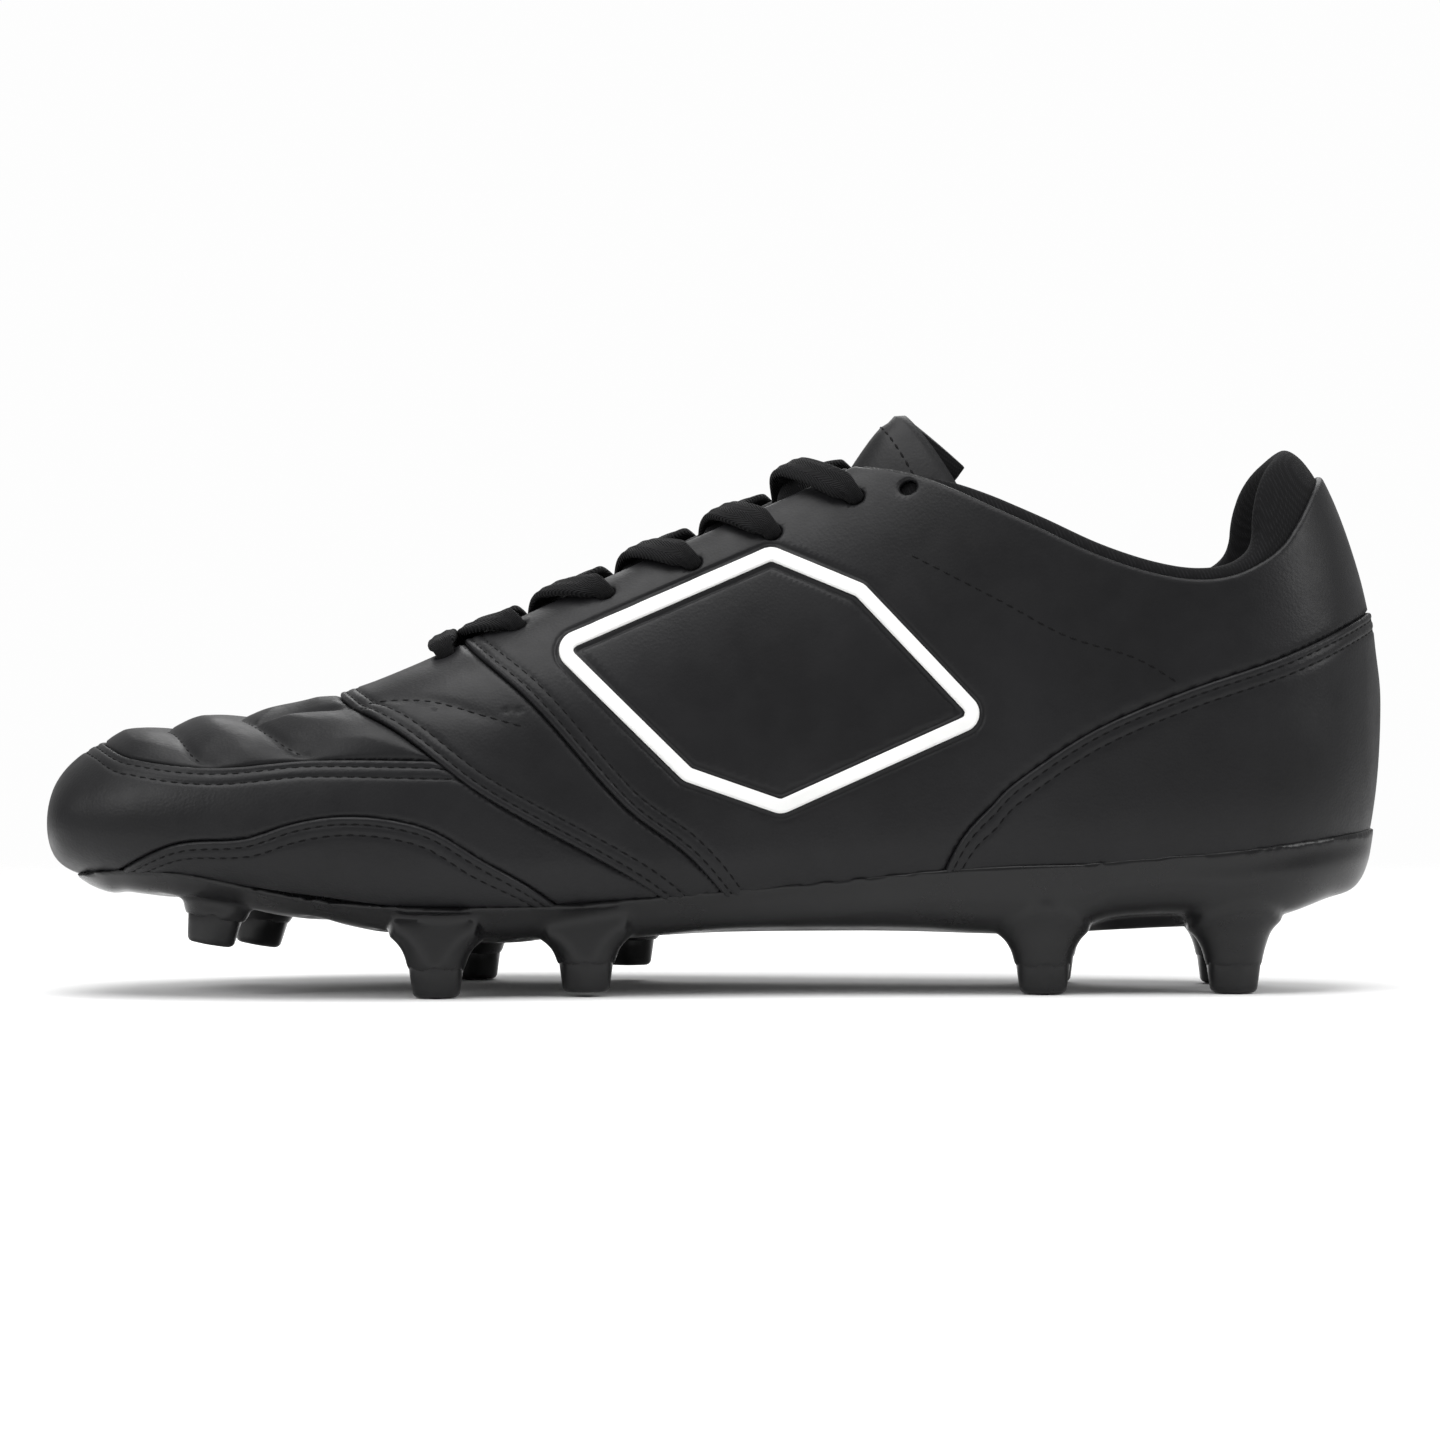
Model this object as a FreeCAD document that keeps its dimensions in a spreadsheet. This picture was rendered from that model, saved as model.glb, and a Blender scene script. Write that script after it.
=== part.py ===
import FreeCAD, Part
import math
import os
from FreeCAD import Placement, Rotation, Vector

# Right-foot firm-ground soccer cleat.
# Frame, in millimetres: +X from toe to heel, +Y to the outer (lateral) side, +Z up. The origin is on the
# ground under the middle of the shoe. The upper is described by stations of its outer leather surface along
# the shoe; every layer is the space between two copies of that surface, one offset further in than the other.

doc = FreeCAD.newDocument("soccer_cleat")

# ---------------------------------------------------------------------------------------------------------
# Driving dimensions
# ---------------------------------------------------------------------------------------------------------
DIMENSIONS = {
    "half_length": 143.4,     # half of the upper's length
    "middle": 1.0,            # its middle lies this far behind the origin
    "leather": 1.6,           # outer leather
    "backing": 1.2,           # stiffeners, foam and reinforcement between leather and lining
    "lining": 0.8,            # textile lining
    "glue_gap": 0.1,          # between two layers
    "lasting": 2.0,           # height at which the backing starts above the board's edge
    "plate_wall": 1.2,        # side wall of the outsole plate
    "plate_base": 3.4,        # bottom of the outsole plate
    "collar_pad": 5.1,        # foam round the ankle
    "collar_drop": 20.0,      # height of the padded band under the topline
    "tip_radius": 5.2,        # ground face of a stud
    "tip_shoulder": 6.0,      # where the moulded tip meets its post
    "tip_height": 7.0,        # height of the moulded tip
    "tip_rounding": 0.8,      # edge of the ground face
    "post_top": 8.6,          # radius of a post where it runs into the plate
    "post_height": 13.0,      # height of a post
    "tongue_face": 1.0,       # leather on the tongue
    "tongue_foam": 3.4,       # padding in the tongue
    "tongue_back": 0.8,       # textile under the tongue
    "sockliner": 3.6,         # foam of the removable insole
    "sockliner_cover": 0.6,   # its textile top
    "lace_radius": 1.4,       # the lace, drawn as a round tube
    "eyelet_radius": 2.0,     # punched lace hole
    "emblem_depth": 0.5,      # raised outline on each quarter
    "aglet_radius": 1.7,      # tube over the end of the lace
    "aglet_length": 20.0,
}
sheet = doc.addObject("Spreadsheet::Sheet", "Dimensions")
for row, (alias, value) in enumerate(DIMENSIONS.items(), start=1):
    sheet.set(f"A{row}", alias)
    sheet.set(f"B{row}", str(value))
    sheet.setAlias(f"B{row}", alias)
doc.recompute()


def size(alias):
    return float(sheet.get(alias))


# Stations of the outer leather: x, top, bottom, medial side, lateral side, height of the widest point,
# place of the ridge across the shoe. Above the ankle the tops are those of the closed form that the collar
# line then trims.
STATIONS = [
    (-142.4, 35.5, 35.5, -10.0, -10.0, 35.5, -10.0),
    (-140.0, 45.5, 27.6, -28.5, 9.0, 36.5, -10.5),
    (-130.0, 53.0, 23.6, -38.0, 23.0, 36.5, -11.0),
    (-112.0, 57.0, 21.8, -44.5, 34.5, 36.0, -12.0),
    (-84.0, 61.5, 17.3, -49.0, 44.5, 33.5, -12.0),
    (-56.0, 73.5, 13.8, -48.5, 49.0, 31.0, -11.0),
    (-28.0, 87.0, 14.2, -42.5, 49.0, 31.0, -9.0),
    (0.0, 100.5, 15.0, -37.0, 46.0, 33.0, -6.5),
    (30.0, 115.0, 15.2, -34.5, 41.5, 37.0, -3.5),
    (60.0, 132.0, 15.0, -34.0, 37.5, 41.0, -1.5),
    (90.0, 139.0, 15.8, -34.0, 35.5, 45.0, 0.0),
    (115.0, 128.0, 17.0, -32.0, 33.0, 49.0, 0.0),
    (130.0, 113.0, 21.0, -25.5, 25.5, 53.0, 0.0),
    (139.0, 91.5, 25.0, -15.0, 15.0, 57.0, 0.0),
    (143.0, 74.0, 40.0, -6.5, 6.5, 60.0, 0.0),
    (144.4, 62.0, 62.0, 0.0, 0.0, 62.0, 0.0),
]
SECTION_SHARES = (0.012, 0.04, 0.08, 0.13, 0.19, 0.26, 0.34, 0.42, 0.50, 0.58, 0.66, 0.73, 0.79, 0.845,
                  0.89, 0.93, 0.965, 0.988)
POINTS_AROUND = 28

# Lines on the side of the shoe, as (x, z).
FEATHER_LINE = [(-150, 19), (-139, 23), (-130, 24.8), (-112, 24), (-84, 19.2), (-56, 15.6), (-28, 16),
                (0, 17.4), (60, 18.5), (115, 21), (150, 28)]
PLATE_EDGE = [(-150, 19), (-139, 24.2), (-130, 26.4), (-113, 26.4), (-104, 24.9), (-91, 22), (-78, 20),
              (-63, 19.4), (-38, 19.4), (-15, 20.8), (20, 23.5), (54, 27), (91, 28.6), (142, 34.7), (150, 36)]
COLLAR_LINE = [(22, 117), (30, 112.8), (38.5, 111.3), (48, 108.3), (58, 103.7), (68, 99), (80, 93.2),
               (91.5, 89.3), (101, 87.7), (109, 88.5), (116, 91.6), (121, 95.5), (125, 101), (129, 107.5),
               (133, 113), (150, 120)]
SADDLE_FRONT = [(-62, 84), (-54, 75.3), (-38, 61.6), (-18.6, 40), (-4.7, 29), (8, 14)]
VAMP_REAR = [(-90, 70), (-79, 62.5), (-65, 55), (-48, 42.5), (-17.5, 25.2), (0, 13)]
VAMP_EDGE = [(-150, 58), (-130, 52.7), (-122, 49.7), (-104, 47.9), (-83, 49.5), (-50, 49.4)]
MUDGUARD_EDGE = [(-127, 25), (-112, 32), (-97, 33.4), (-87, 36.5), (-77.6, 38), (-67.6, 37.5), (-58, 35),
                 (-48, 29), (-38, 23), (-28, 15)]
FOXING_EDGE = [(46, 10), (49, 27.5), (59, 41), (65.6, 46.7), (80, 56), (98.8, 64), (120.8, 71.6),
               (141, 81), (150, 86)]
EMBLEM_OUTLINE = [(-31, 73), (12, 93), (31, 85), (54, 59), (14, 40), (-6, 47)]

# Lace holes of one side, from the toe up: place along the shoe and distance from the ridge. The last is free.
EYELETS = [(-57.0, 11.0), (-41.8, 13.0), (-23.1, 14.5), (-4.7, 15.5), (12.3, 16.0), (29.8, 16.5),
           (41.0, 19.0)]
LACED_ROWS = 6

# Studs: name, x, y, height of the ground face, tilt back about Y in degrees.
STUDS = [
    ("toe_medial", -106.8, -26.0, 10.6, 10.0),
    ("toe_lateral", -101.6, 20.0, 8.2, 10.0),
    ("ball_medial", -58.2, -34.0, 0.0, 0.0),
    ("ball_lateral", -53.8, 33.0, 0.0, 0.0),
    ("waist_medial", -27.0, -28.0, 0.8, 0.0),
    ("waist_lateral", -19.2, 31.0, 3.2, 0.0),
    ("heel_front_medial", 69.8, -20.5, 0.0, 0.0),
    ("heel_front_lateral", 74.0, 22.0, 0.0, 0.0),
    ("heel_rear_medial", 110.6, -17.5, 0.0, 0.0),
    ("heel_rear_lateral", 112.4, 18.0, 0.0, 0.0),
]


# ---------------------------------------------------------------------------------------------------------
# The upper's surface
# ---------------------------------------------------------------------------------------------------------
def share_at(x):
    """Where x lies from toe tip, 0, to heel, 1; the shares crowd towards both ends."""
    return math.acos(max(-1.0, min(1.0, (size("middle") - x) / size("half_length")))) / math.pi


def smooth(places, values, at):
    """Cubic through the values, with each slope taken from the neighbours."""
    last = len(places) - 1
    i = max(0, min(last - 1, next((k for k in range(last) if at <= places[k + 1]), last - 1)))

    def slope(k):
        a, b = max(0, k - 1), min(last, k + 1)
        return (values[b] - values[a]) / (places[b] - places[a])

    span = places[i + 1] - places[i]
    s = (at - places[i]) / span
    return ((2 * s**3 - 3 * s**2 + 1) * values[i] + (s**3 - 2 * s**2 + s) * span * slope(i)
            + (3 * s**2 - 2 * s**3) * values[i + 1] + (s**3 - s**2) * span * slope(i + 1))


STATION_SHARES = [share_at(s[0]) for s in STATIONS]


def station(share):
    """Top, bottom, medial, lateral, widest height and ridge of the leather at a share of the length."""
    return [smooth(STATION_SHARES, [s[k] for s in STATIONS], share) for k in range(1, 7)]


def surface_point(share, turn, offset, bottom_offset=None):
    """A point of the form: turn is 0 at the lateral side, a quarter of a circle at the ridge."""
    top, bottom, medial, lateral, widest, ridge = station(share)
    fade = math.sin(math.pi * share) ** 0.8
    body = min(1.0, 1.6 * math.sin(math.pi * share))
    out = offset * fade
    down = (offset if bottom_offset is None else bottom_offset) * fade
    c, s = math.cos(turn), math.sin(turn)
    side = 1 if c >= 0 else -1
    if s >= 0:
        reach = (lateral - ridge if side > 0 else ridge - medial) + out
        y = ridge + side * reach * abs(c) ** (1 - 0.15 * body)
        z = widest + (top + out - widest) * s
    else:
        middle, half = (medial + lateral) / 2, (lateral - medial) / 2 + out
        y = middle + side * half * abs(c) ** (1 - 0.3 * body)
        z = widest - (widest - bottom + down) * abs(s) ** (1 - 0.3 * body)
    return Vector(size("middle") - (size("half_length") + offset) * math.cos(math.pi * share), y, z)


def form(offset, bottom_offset=None):
    """The closed form whose surface is the leather's outside moved out by offset."""
    rows = []
    for share in SECTION_SHARES:
        row = [surface_point(share, (2 * k / POINTS_AROUND - 0.5) * math.pi, offset, bottom_offset)
               for k in range(POINTS_AROUND)]
        rows.append(row + [row[0]])
    skin = Part.BSplineSurface()
    skin.interpolate(rows)
    toe_end, heel_end = [Part.Wire([skin.uIso(u).toShape()]) for u in skin.bounds()[:2]]
    shell = Part.makeShell([skin.toShape(), Part.Face(toe_end), Part.Face(heel_end)])
    shell.sewShape()
    return Part.makeSolid(shell)


def on_surface(x, from_ridge, offset):
    """The point of the form at x and at a distance across the shoe from the ridge, and its outward normal."""
    share = share_at(x)
    low, high = (0.0, math.pi / 2) if from_ridge > 0 else (math.pi / 2, math.pi)
    ridge = station(share)[5]

    def across(turn):
        return surface_point(share, turn, 0.0).y - ridge

    for _ in range(40):
        middle = (low + high) / 2
        if across(middle) > from_ridge:
            low = middle
        else:
            high = middle
    step = 0.01
    here = surface_point(share, low, 0.0)
    round_it = surface_point(share, low + step, 0.0) - surface_point(share, low - step, 0.0)
    along = surface_point(share + step, low, 0.0) - surface_point(share - step, low, 0.0)
    normal = round_it.cross(along).normalize()
    if normal.z < 0:
        normal = -normal
    return here + normal * offset, normal


# ---------------------------------------------------------------------------------------------------------
# Regions seen from the side and from above
# ---------------------------------------------------------------------------------------------------------
WIDE = 90.0
HIGH = 200.0
LOW = -30.0
FRONT, REAR = -160.0, 160.0
THROAT_FRONT = -60.0      # toe end of the gap between the eyestays
BAND_FRONT = 56.0         # where the padded band round the ankle starts
PUFF_REAR = -118.0        # rear edge of the toe stiffener
COUNTER_FRONT = 86.0      # front edge of the heel stiffener
PART_GAP = 0.2            # between two stiffeners
LINING_LIFT = 5.0         # height at which the lining starts above the board's edge


def curve_edge(points):
    curve = Part.BSplineCurve()
    curve.interpolate(points)
    return curve.toShape()


def side_region(line, corners, y_from=-WIDE, y_to=WIDE):
    """A prism across the shoe: a smooth side line, closed through corner points."""
    shift = Vector(0, y_from, 0)
    curve = curve_edge([Vector(x, 0, z) + shift for x, z in line])
    ends = [Vector(line[-1][0], 0, line[-1][1])] + [Vector(x, 0, z) for x, z in corners]
    ends.append(Vector(line[0][0], 0, line[0][1]))
    straight = [Part.makeLine(a + shift, b + shift) for a, b in zip(ends, ends[1:])]
    return Part.Face(Part.Wire([curve] + straight)).extrude(Vector(0, y_to - y_from, 0))


def below(line, drop=0.0):
    moved = [(x, z - drop) for x, z in line]
    return side_region(moved, [(line[-1][0], LOW), (line[0][0], LOW)])


def above(line, drop=0.0):
    moved = [(x, z - drop) for x, z in line]
    return side_region(moved, [(line[-1][0], HIGH), (line[0][0], HIGH)])


def behind(line):
    """Everything on the heel side of a line that falls from the instep to the sole."""
    return side_region(line, [(REAR, LOW), (REAR, HIGH), (line[0][0], HIGH)])


def throat(edge_gap, front, rear):
    """The gap over the tongue between the two eyestays, as a prism seen from above."""
    places = [front, -40.0, -20.0, 0.0, 20.0, rear]
    sides = {}
    for side in (-1, 1):
        sides[side] = [Vector(x, station(share_at(x))[5] + side * edge_gap(x), 45.0) for x in places]
    left, right = curve_edge(sides[-1]), curve_edge(sides[1])
    closing = [Part.makeLine(sides[-1][0], sides[1][0]), Part.makeLine(sides[-1][-1], sides[1][-1])]
    edges = Part.__sortEdges__([left, right] + closing)
    return Part.Face(Part.Wire(edges)).extrude(Vector(0, 0, 120))


def slab(x_from, x_to):
    return Part.makeBox(x_to - x_from, 2 * WIDE, HIGH - LOW, Vector(x_from, -WIDE, LOW))


# ---------------------------------------------------------------------------------------------------------
# Sub-parts
# ---------------------------------------------------------------------------------------------------------
sub_parts = []


def keep(label, shape):
    """A sub-part whose free-form shape is set directly."""
    solids = [s for s in shape.Solids if s.Volume > 1.0]
    if not solids:
        raise RuntimeError(f"{label} has no solid")
    feature = doc.addObject("Part::Feature", label)
    feature.Shape = solids[0] if len(solids) == 1 else Part.makeCompound(solids)
    feature.Label = label
    sub_parts.append(feature)
    return feature


def split_sides(label, shape):
    """Two sub-parts, medial and lateral, cut along the ridge."""
    corners = [(FRONT, -10), (-56, -11), (60, -1.5), (90, 0), (REAR, 0), (REAR, -WIDE), (FRONT, -WIDE),
               (FRONT, -10)]
    plan = Part.makePolygon([Vector(x, y, LOW) for x, y in corners])
    medial = Part.Face(plan).extrude(Vector(0, 0, HIGH - LOW))
    keep(label + "_medial", shape.common(medial))
    keep(label + "_lateral", shape.cut(medial))


def eyelet_tools():
    """A cylinder through the eyestay at every lace hole."""
    tools = []
    for x, reach in EYELETS:
        for side in (-1, 1):
            foot, normal = on_surface(x, side * reach, -6.0)
            tools.append(Part.makeCylinder(size("eyelet_radius"), 9.0, foot, normal))
    return tools


def edge_gap(x):
    """Half the gap between the eyestays: narrow at the toe end."""
    return 5.5 + 0.04 * (x - THROAT_FRONT)


def lining_gap(x):
    """Half the gap between the edges of the lining over the tongue."""
    return 25.0 + 0.02 * x


# Faces of the layers, measured out from the leather's outside.
leather_in = -size("leather")
backing_out = leather_in - size("glue_gap")
backing_in = backing_out - size("backing")
lining_out = backing_in - size("glue_gap")
lining_in = lining_out - size("lining")
pad_in = backing_out - size("collar_pad")
collar_out = pad_in - size("glue_gap")
collar_in = collar_out - size("lining")

leather_form = form(0.0)
holes = eyelet_tools()
collar_cut = above(COLLAR_LINE)
band_cut = above(COLLAR_LINE, size("collar_drop"))
band_start = slab(BAND_FRONT, REAR)
eyestay_gap = throat(edge_gap, THROAT_FRONT, 44.0)


def build_leather():
    shell = leather_form.cut(form(leather_in))
    feather = below(FEATHER_LINE)
    keep("strobel_board", leather_form.cut(form(lining_in)).common(feather))
    upper = shell.cut(feather).cut(collar_cut).cut(eyestay_gap)
    heel_region = side_region(FOXING_EDGE, [(150, LOW), (46, LOW)])
    keep("heel_foxing", upper.common(heel_region))
    rest = upper.cut(heel_region)
    saddle = behind(SADDLE_FRONT)
    split_sides("quarter", rest.common(saddle).cut(holes))
    front = rest.cut(saddle)
    rear_vamp = behind(VAMP_REAR)
    keep("vamp_saddle", front.common(rear_vamp).cut(holes))
    toe = front.cut(rear_vamp)
    top = above(VAMP_EDGE)
    keep("quilted_vamp", toe.common(top))
    lower = toe.cut(top)
    guard = below(MUDGUARD_EDGE)
    split_sides("mudguard", lower.common(guard))
    keep("toe_wrap", lower.cut(guard))


def build_backing():
    shell = form(backing_out).cut(form(backing_in))
    layer = shell.cut(below(FEATHER_LINE, -size("lasting"))).cut(collar_cut).cut(eyestay_gap)
    layer = layer.cut(band_cut.common(band_start)).cut(holes)
    keep("toe_puff", layer.common(slab(FRONT, PUFF_REAR)))
    middle = layer.common(slab(PUFF_REAR + PART_GAP, COUNTER_FRONT))
    saddle = behind(SADDLE_FRONT)
    keep("vamp_foam", middle.cut(saddle))
    split_sides("quarter_backing", middle.common(saddle))
    keep("heel_counter", layer.common(slab(COUNTER_FRONT + PART_GAP, REAR)))


def build_lining():
    shell = form(lining_out).cut(form(lining_in))
    wide_gap = throat(lining_gap, THROAT_FRONT - 2.0, 58.0)
    layer = shell.cut(below(FEATHER_LINE, -LINING_LIFT)).cut(collar_cut).cut(wide_gap)
    layer = layer.cut(band_cut.common(band_start))
    saddle = behind(SADDLE_FRONT)
    keep("vamp_lining", layer.cut(saddle))
    keep("quarter_lining", layer.common(saddle))


def build_collar():
    band = band_cut.common(band_start).cut(collar_cut)
    keep("collar_foam", form(backing_out).cut(form(pad_in)).common(band))
    keep("collar_lining", form(collar_out).cut(form(collar_in)).common(band))


def build_plate():
    edge = below(PLATE_EDGE)
    cavity = form(size("glue_gap"))
    shell = form(size("plate_wall"), size("plate_base")).cut(cavity).common(edge)
    for name, x, y, ground, tilt in STUDS:
        shoulder, top = size("tip_shoulder"), size("post_top")
        flare = 0.55 * size("post_height")
        post = Part.makeCone(shoulder, shoulder + 1.0, flare, Vector(0, 0, 0))
        root = Part.makeCone(shoulder + 1.0, top, size("post_height") - flare, Vector(0, 0, flare))
        foot = post.fuse(root)
        foot.Placement = stud_placement(x, y, ground, tilt, size("tip_height"))
        shell = shell.fuse(foot.cut(cavity))
    keep("outsole_plate", shell)


def stud_placement(x, y, ground, tilt, up):
    turn = Rotation(Vector(0, 1, 0), tilt)
    return Placement(Vector(x, y, ground) + turn.multVec(Vector(0, 0, up)), turn)


def build_stud_tips():
    """Each tip is a cone that widens upwards, with its ground edge rounded."""
    for name, x, y, ground, tilt in STUDS:
        cone = doc.addObject("Part::Cone", "cone_" + name)
        cone.setExpression("Radius1", "Dimensions.tip_radius")
        cone.setExpression("Radius2", "Dimensions.tip_shoulder")
        cone.setExpression("Height", "Dimensions.tip_height - Dimensions.glue_gap")
        doc.recompute()
        ground_edge = next(k for k, e in enumerate(cone.Shape.Edges, start=1)
                           if e.BoundBox.ZMax < 0.01)
        tip = doc.addObject("Part::Fillet", "stud_tip_" + name)
        tip.Base = cone
        tip.Edges = [(ground_edge, size("tip_rounding"), size("tip_rounding"))]
        tip.Label = "stud_tip_" + name
        tip.Placement = stud_placement(x, y, ground, tilt, 0.0)
        sub_parts.append(tip)


def layer(point_at, outer, inner):
    """A sheet between two copies of a grid of points, at two depths, closed round its edge."""
    skins = []
    for depth in (outer, inner):
        skin = Part.BSplineSurface()
        skin.interpolate([[point_at(x, w, depth) for w in TONGUE_ACROSS] for x in TONGUE_ALONG])
        skins.append(skin)
    top, bottom = skins
    u0, u1, v0, v1 = top.bounds()
    walls = [Part.makeRuledSurface(top.uIso(u).toShape(), bottom.uIso(u).toShape()) for u in (u0, u1)]
    walls += [Part.makeRuledSurface(top.vIso(v).toShape(), bottom.vIso(v).toShape()) for v in (v0, v1)]
    shell = Part.makeShell([top.toShape(), bottom.toShape()] + walls)
    shell.sewShape()
    return Part.makeSolid(shell)


TONGUE_ALONG = [-70.0, -58.0, -40.0, -20.0, 0.0, 16.0, 27.0, 35.0]
TONGUE_ACROSS = [-24.0, -16.0, -8.0, 0.0, 8.0, 16.0, 24.0]
TONGUE_HALF = 24.0
TONGUE_DEPTH = 7.2
TONGUE_RISE = 10.5
TONGUE_WRAP = 18.0
TONGUE_SLIDE = 1.5
TONGUE_FLICK = 3.5
TONGUE_DROOP = 0.6


def tongue_point(x, w, depth):
    """A point of the tongue; its upper end stands proud of the form and bends round the ankle."""
    narrow = 0.72 + 0.28 * (x - TONGUE_ALONG[0]) / (TONGUE_ALONG[-1] - TONGUE_ALONG[0])
    point = on_surface(x, w * narrow, -TONGUE_DEPTH - depth)[0]
    end = max(0.0, (x - 10.0) / 25.0)
    bend = (w / TONGUE_HALF) ** 2
    back = TONGUE_SLIDE + TONGUE_WRAP * bend
    up = TONGUE_RISE + TONGUE_FLICK * end**4
    return point + Vector(back, 0, up * (1 - TONGUE_DROOP * bend)) * end**2


def build_tongue():
    face, foam, back = size("tongue_face"), size("tongue_foam"), size("tongue_back")
    gap = size("glue_gap")
    keep("tongue_leather", layer(tongue_point, 0.0, face))
    keep("tongue_foam", layer(tongue_point, face + gap, face + gap + foam))
    keep("tongue_lining", layer(tongue_point, face + 2 * gap + foam, face + 2 * gap + foam + back))


def build_sockliner():
    """The removable insole: a foam moulding with a textile cover, lying on the board."""
    body = form(lining_in - 0.4)
    bed = [(x, z + size("sockliner") + 1.3) for x, z in FEATHER_LINE]
    ends = slab(-136, 137)
    keep("sockliner_foam", body.common(below(bed)).common(ends))
    cover_low = [(x, z + size("glue_gap")) for x, z in bed]
    cover_top = [(x, z + size("sockliner_cover")) for x, z in cover_low]
    keep("sockliner_cover", body.common(below(cover_top)).cut(below(cover_low)).common(ends))


def build_emblems():
    outline = Part.makePolygon([Vector(x, 0, z) for x, z in EMBLEM_OUTLINE + EMBLEM_OUTLINE[:1]])
    outer = Part.Face(outline.makeOffset2D(1.5, 0))
    ring = outer.cut(Part.Face(outline.makeOffset2D(-1.5, 0)))
    skin = form(size("glue_gap") + size("emblem_depth")).cut(form(size("glue_gap")))
    for name, y in (("medial", -WIDE), ("lateral", WIDE)):
        keep("emblem_" + name, skin.common(ring.extrude(Vector(0, y, 0))))


# ---------------------------------------------------------------------------------------------------------
# The lace: one cord. It lies straight across at the first pair of holes; each half then comes out from under
# one eyestay, crosses the tongue and goes down through the next hole of the other side. Both ends are folded
# away inside the shoe.
# ---------------------------------------------------------------------------------------------------------
LACE_OVER = 2.0      # centre line above the leather
LACE_UNDER = -4.6    # centre line under the eyestay
CROSS_HIGH = 1.0     # the two halves where they cross over the tongue
CROSS_LOW = -2.3
LACE_LEAVES = 0.12   # share of the way to the next hole where a half comes out from under one eyestay
LACE_ARRIVES = 0.56  # and where it lands on the other


def side_point(x, z, side, offset):
    """The point of the form at x and at a height on one side, with its offset."""
    share = share_at(x)
    low, high = 0.0, math.pi / 2
    for _ in range(40):
        middle = (low + high) / 2
        turn = middle if side > 0 else math.pi - middle
        if surface_point(share, turn, offset).z < z:
            low = middle
        else:
            high = middle
    return surface_point(share, low if side > 0 else math.pi - low, offset)


def lace_half(first_side):
    """Route of one half, from the middle of the first bar to the end inside the shoe."""
    x, reach = EYELETS[0]
    side = first_side
    points = [on_surface(x, side * (edge_gap(x) + 1.0), LACE_OVER)[0],
              on_surface(x, side * reach, LACE_OVER)[0], on_surface(x, side * reach, LACE_UNDER)[0]]
    for row in range(1, LACED_ROWS):
        before, (x, reach) = EYELETS[row - 1][0], EYELETS[row]
        leave, arrive = before + LACE_LEAVES * (x - before), before + LACE_ARRIVES * (x - before)
        points.append(on_surface(leave, side * (edge_gap(leave) + 0.5), LACE_UNDER)[0])
        middle = CROSS_HIGH if side > 0 else CROSS_LOW
        points.append(on_surface((leave + arrive) / 2, 0.0, middle)[0])
        side = -side
        points.append(on_surface(arrive, side * (edge_gap(arrive) + 1.0), LACE_OVER)[0])
        points.append(on_surface(x, side * reach, LACE_OVER)[0])
        points.append(on_surface(x, side * reach, LACE_UNDER)[0])
    points.append(on_surface(x + 1.0, side * 25.0, -4.5)[0])
    for k, along in enumerate((38.0, 45.0, 52.0, 59.0)):
        ends = (80.0, 49.0) if k % 2 == 0 else (49.0, 80.0)
        points += [side_point(along, z, side, -7.0) for z in ends]
    return points


def rounded_path(points):
    """Straight runs joined by tangent arcs, each as large as its two runs allow."""
    edges, radii, start = [], [], points[0]
    for a, b, c in zip(points, points[1:], points[2:]):
        into, out = (b - a).normalize(), (c - b).normalize()
        turn = into.getAngle(out)
        shorter = min((b - a).Length, (c - b).Length)
        back = 0.45 * shorter
        radii.append(back / math.tan(turn / 2))
        arc_start, arc_end = b - into * back, b + out * back
        bisector = (out - into).normalize()
        middle = b + bisector * (radii[-1] / math.cos(turn / 2) - radii[-1])
        edges.append(Part.LineSegment(start, arc_start).toShape())
        edges.append(Part.Arc(arc_start, middle, arc_end).toShape())
        start = arc_end
    edges.append(Part.LineSegment(start, points[-1]).toShape())
    print("lace arcs, mm:", round(min(radii), 2), "to", round(max(radii), 1))
    return Part.Wire(edges)


def build_lace():
    medial, lateral = lace_half(-1), lace_half(1)
    bar = on_surface(EYELETS[0][0], 0.0, LACE_OVER)[0]
    route = medial[::-1] + [bar] + lateral
    path = rounded_path(route)
    start = route[0]
    circle = Part.Circle(start, (route[1] - route[0]).normalize(), size("lace_radius"))
    tube = path.makePipeShell([Part.Wire(circle.toShape())], True, True, 2)
    print("lace length, mm:", round(path.Length, 1), "volume / (section x length):",
          round(tube.Volume / (math.pi * size("lace_radius") ** 2 * path.Length), 4))
    keep("lace", tube)
    for name, end, inner in (("medial", route[0], route[1]), ("lateral", route[-1], route[-2])):
        axis = (inner - end).normalize()
        foot = end - axis * 1.0
        aglet = Part.makeCylinder(size("aglet_radius"), size("aglet_length"), foot, axis)
        keep("aglet_" + name, aglet.cut(Part.makeCylinder(size("lace_radius") + 0.05,
                                                         size("aglet_length"), foot + axis, axis)))


def check_and_write():
    doc.recompute()
    for item in doc.Objects:
        if "Invalid" in item.State or "Error" in item.State:
            raise RuntimeError(f"{item.Label} failed: {item.State}")
    for feature in sub_parts:
        if feature.Shape.isNull() or not feature.Shape.isValid():
            raise RuntimeError(f"{feature.Label} has no valid shape")
    os.makedirs("parts", exist_ok=True)
    for feature in sub_parts:
        feature.Shape.exportStep(f"parts/{feature.Label}.step")


build_leather()
build_backing()
build_lining()
build_collar()
build_plate()
build_stud_tips()
build_tongue()
build_sockliner()
build_emblems()
build_lace()
doc.recompute()
for feature in sub_parts:
    print(feature.Label, feature.Shape.isValid(), len(feature.Shape.Solids), round(feature.Shape.Volume))
check_and_write()
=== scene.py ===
import math
import random

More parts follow.
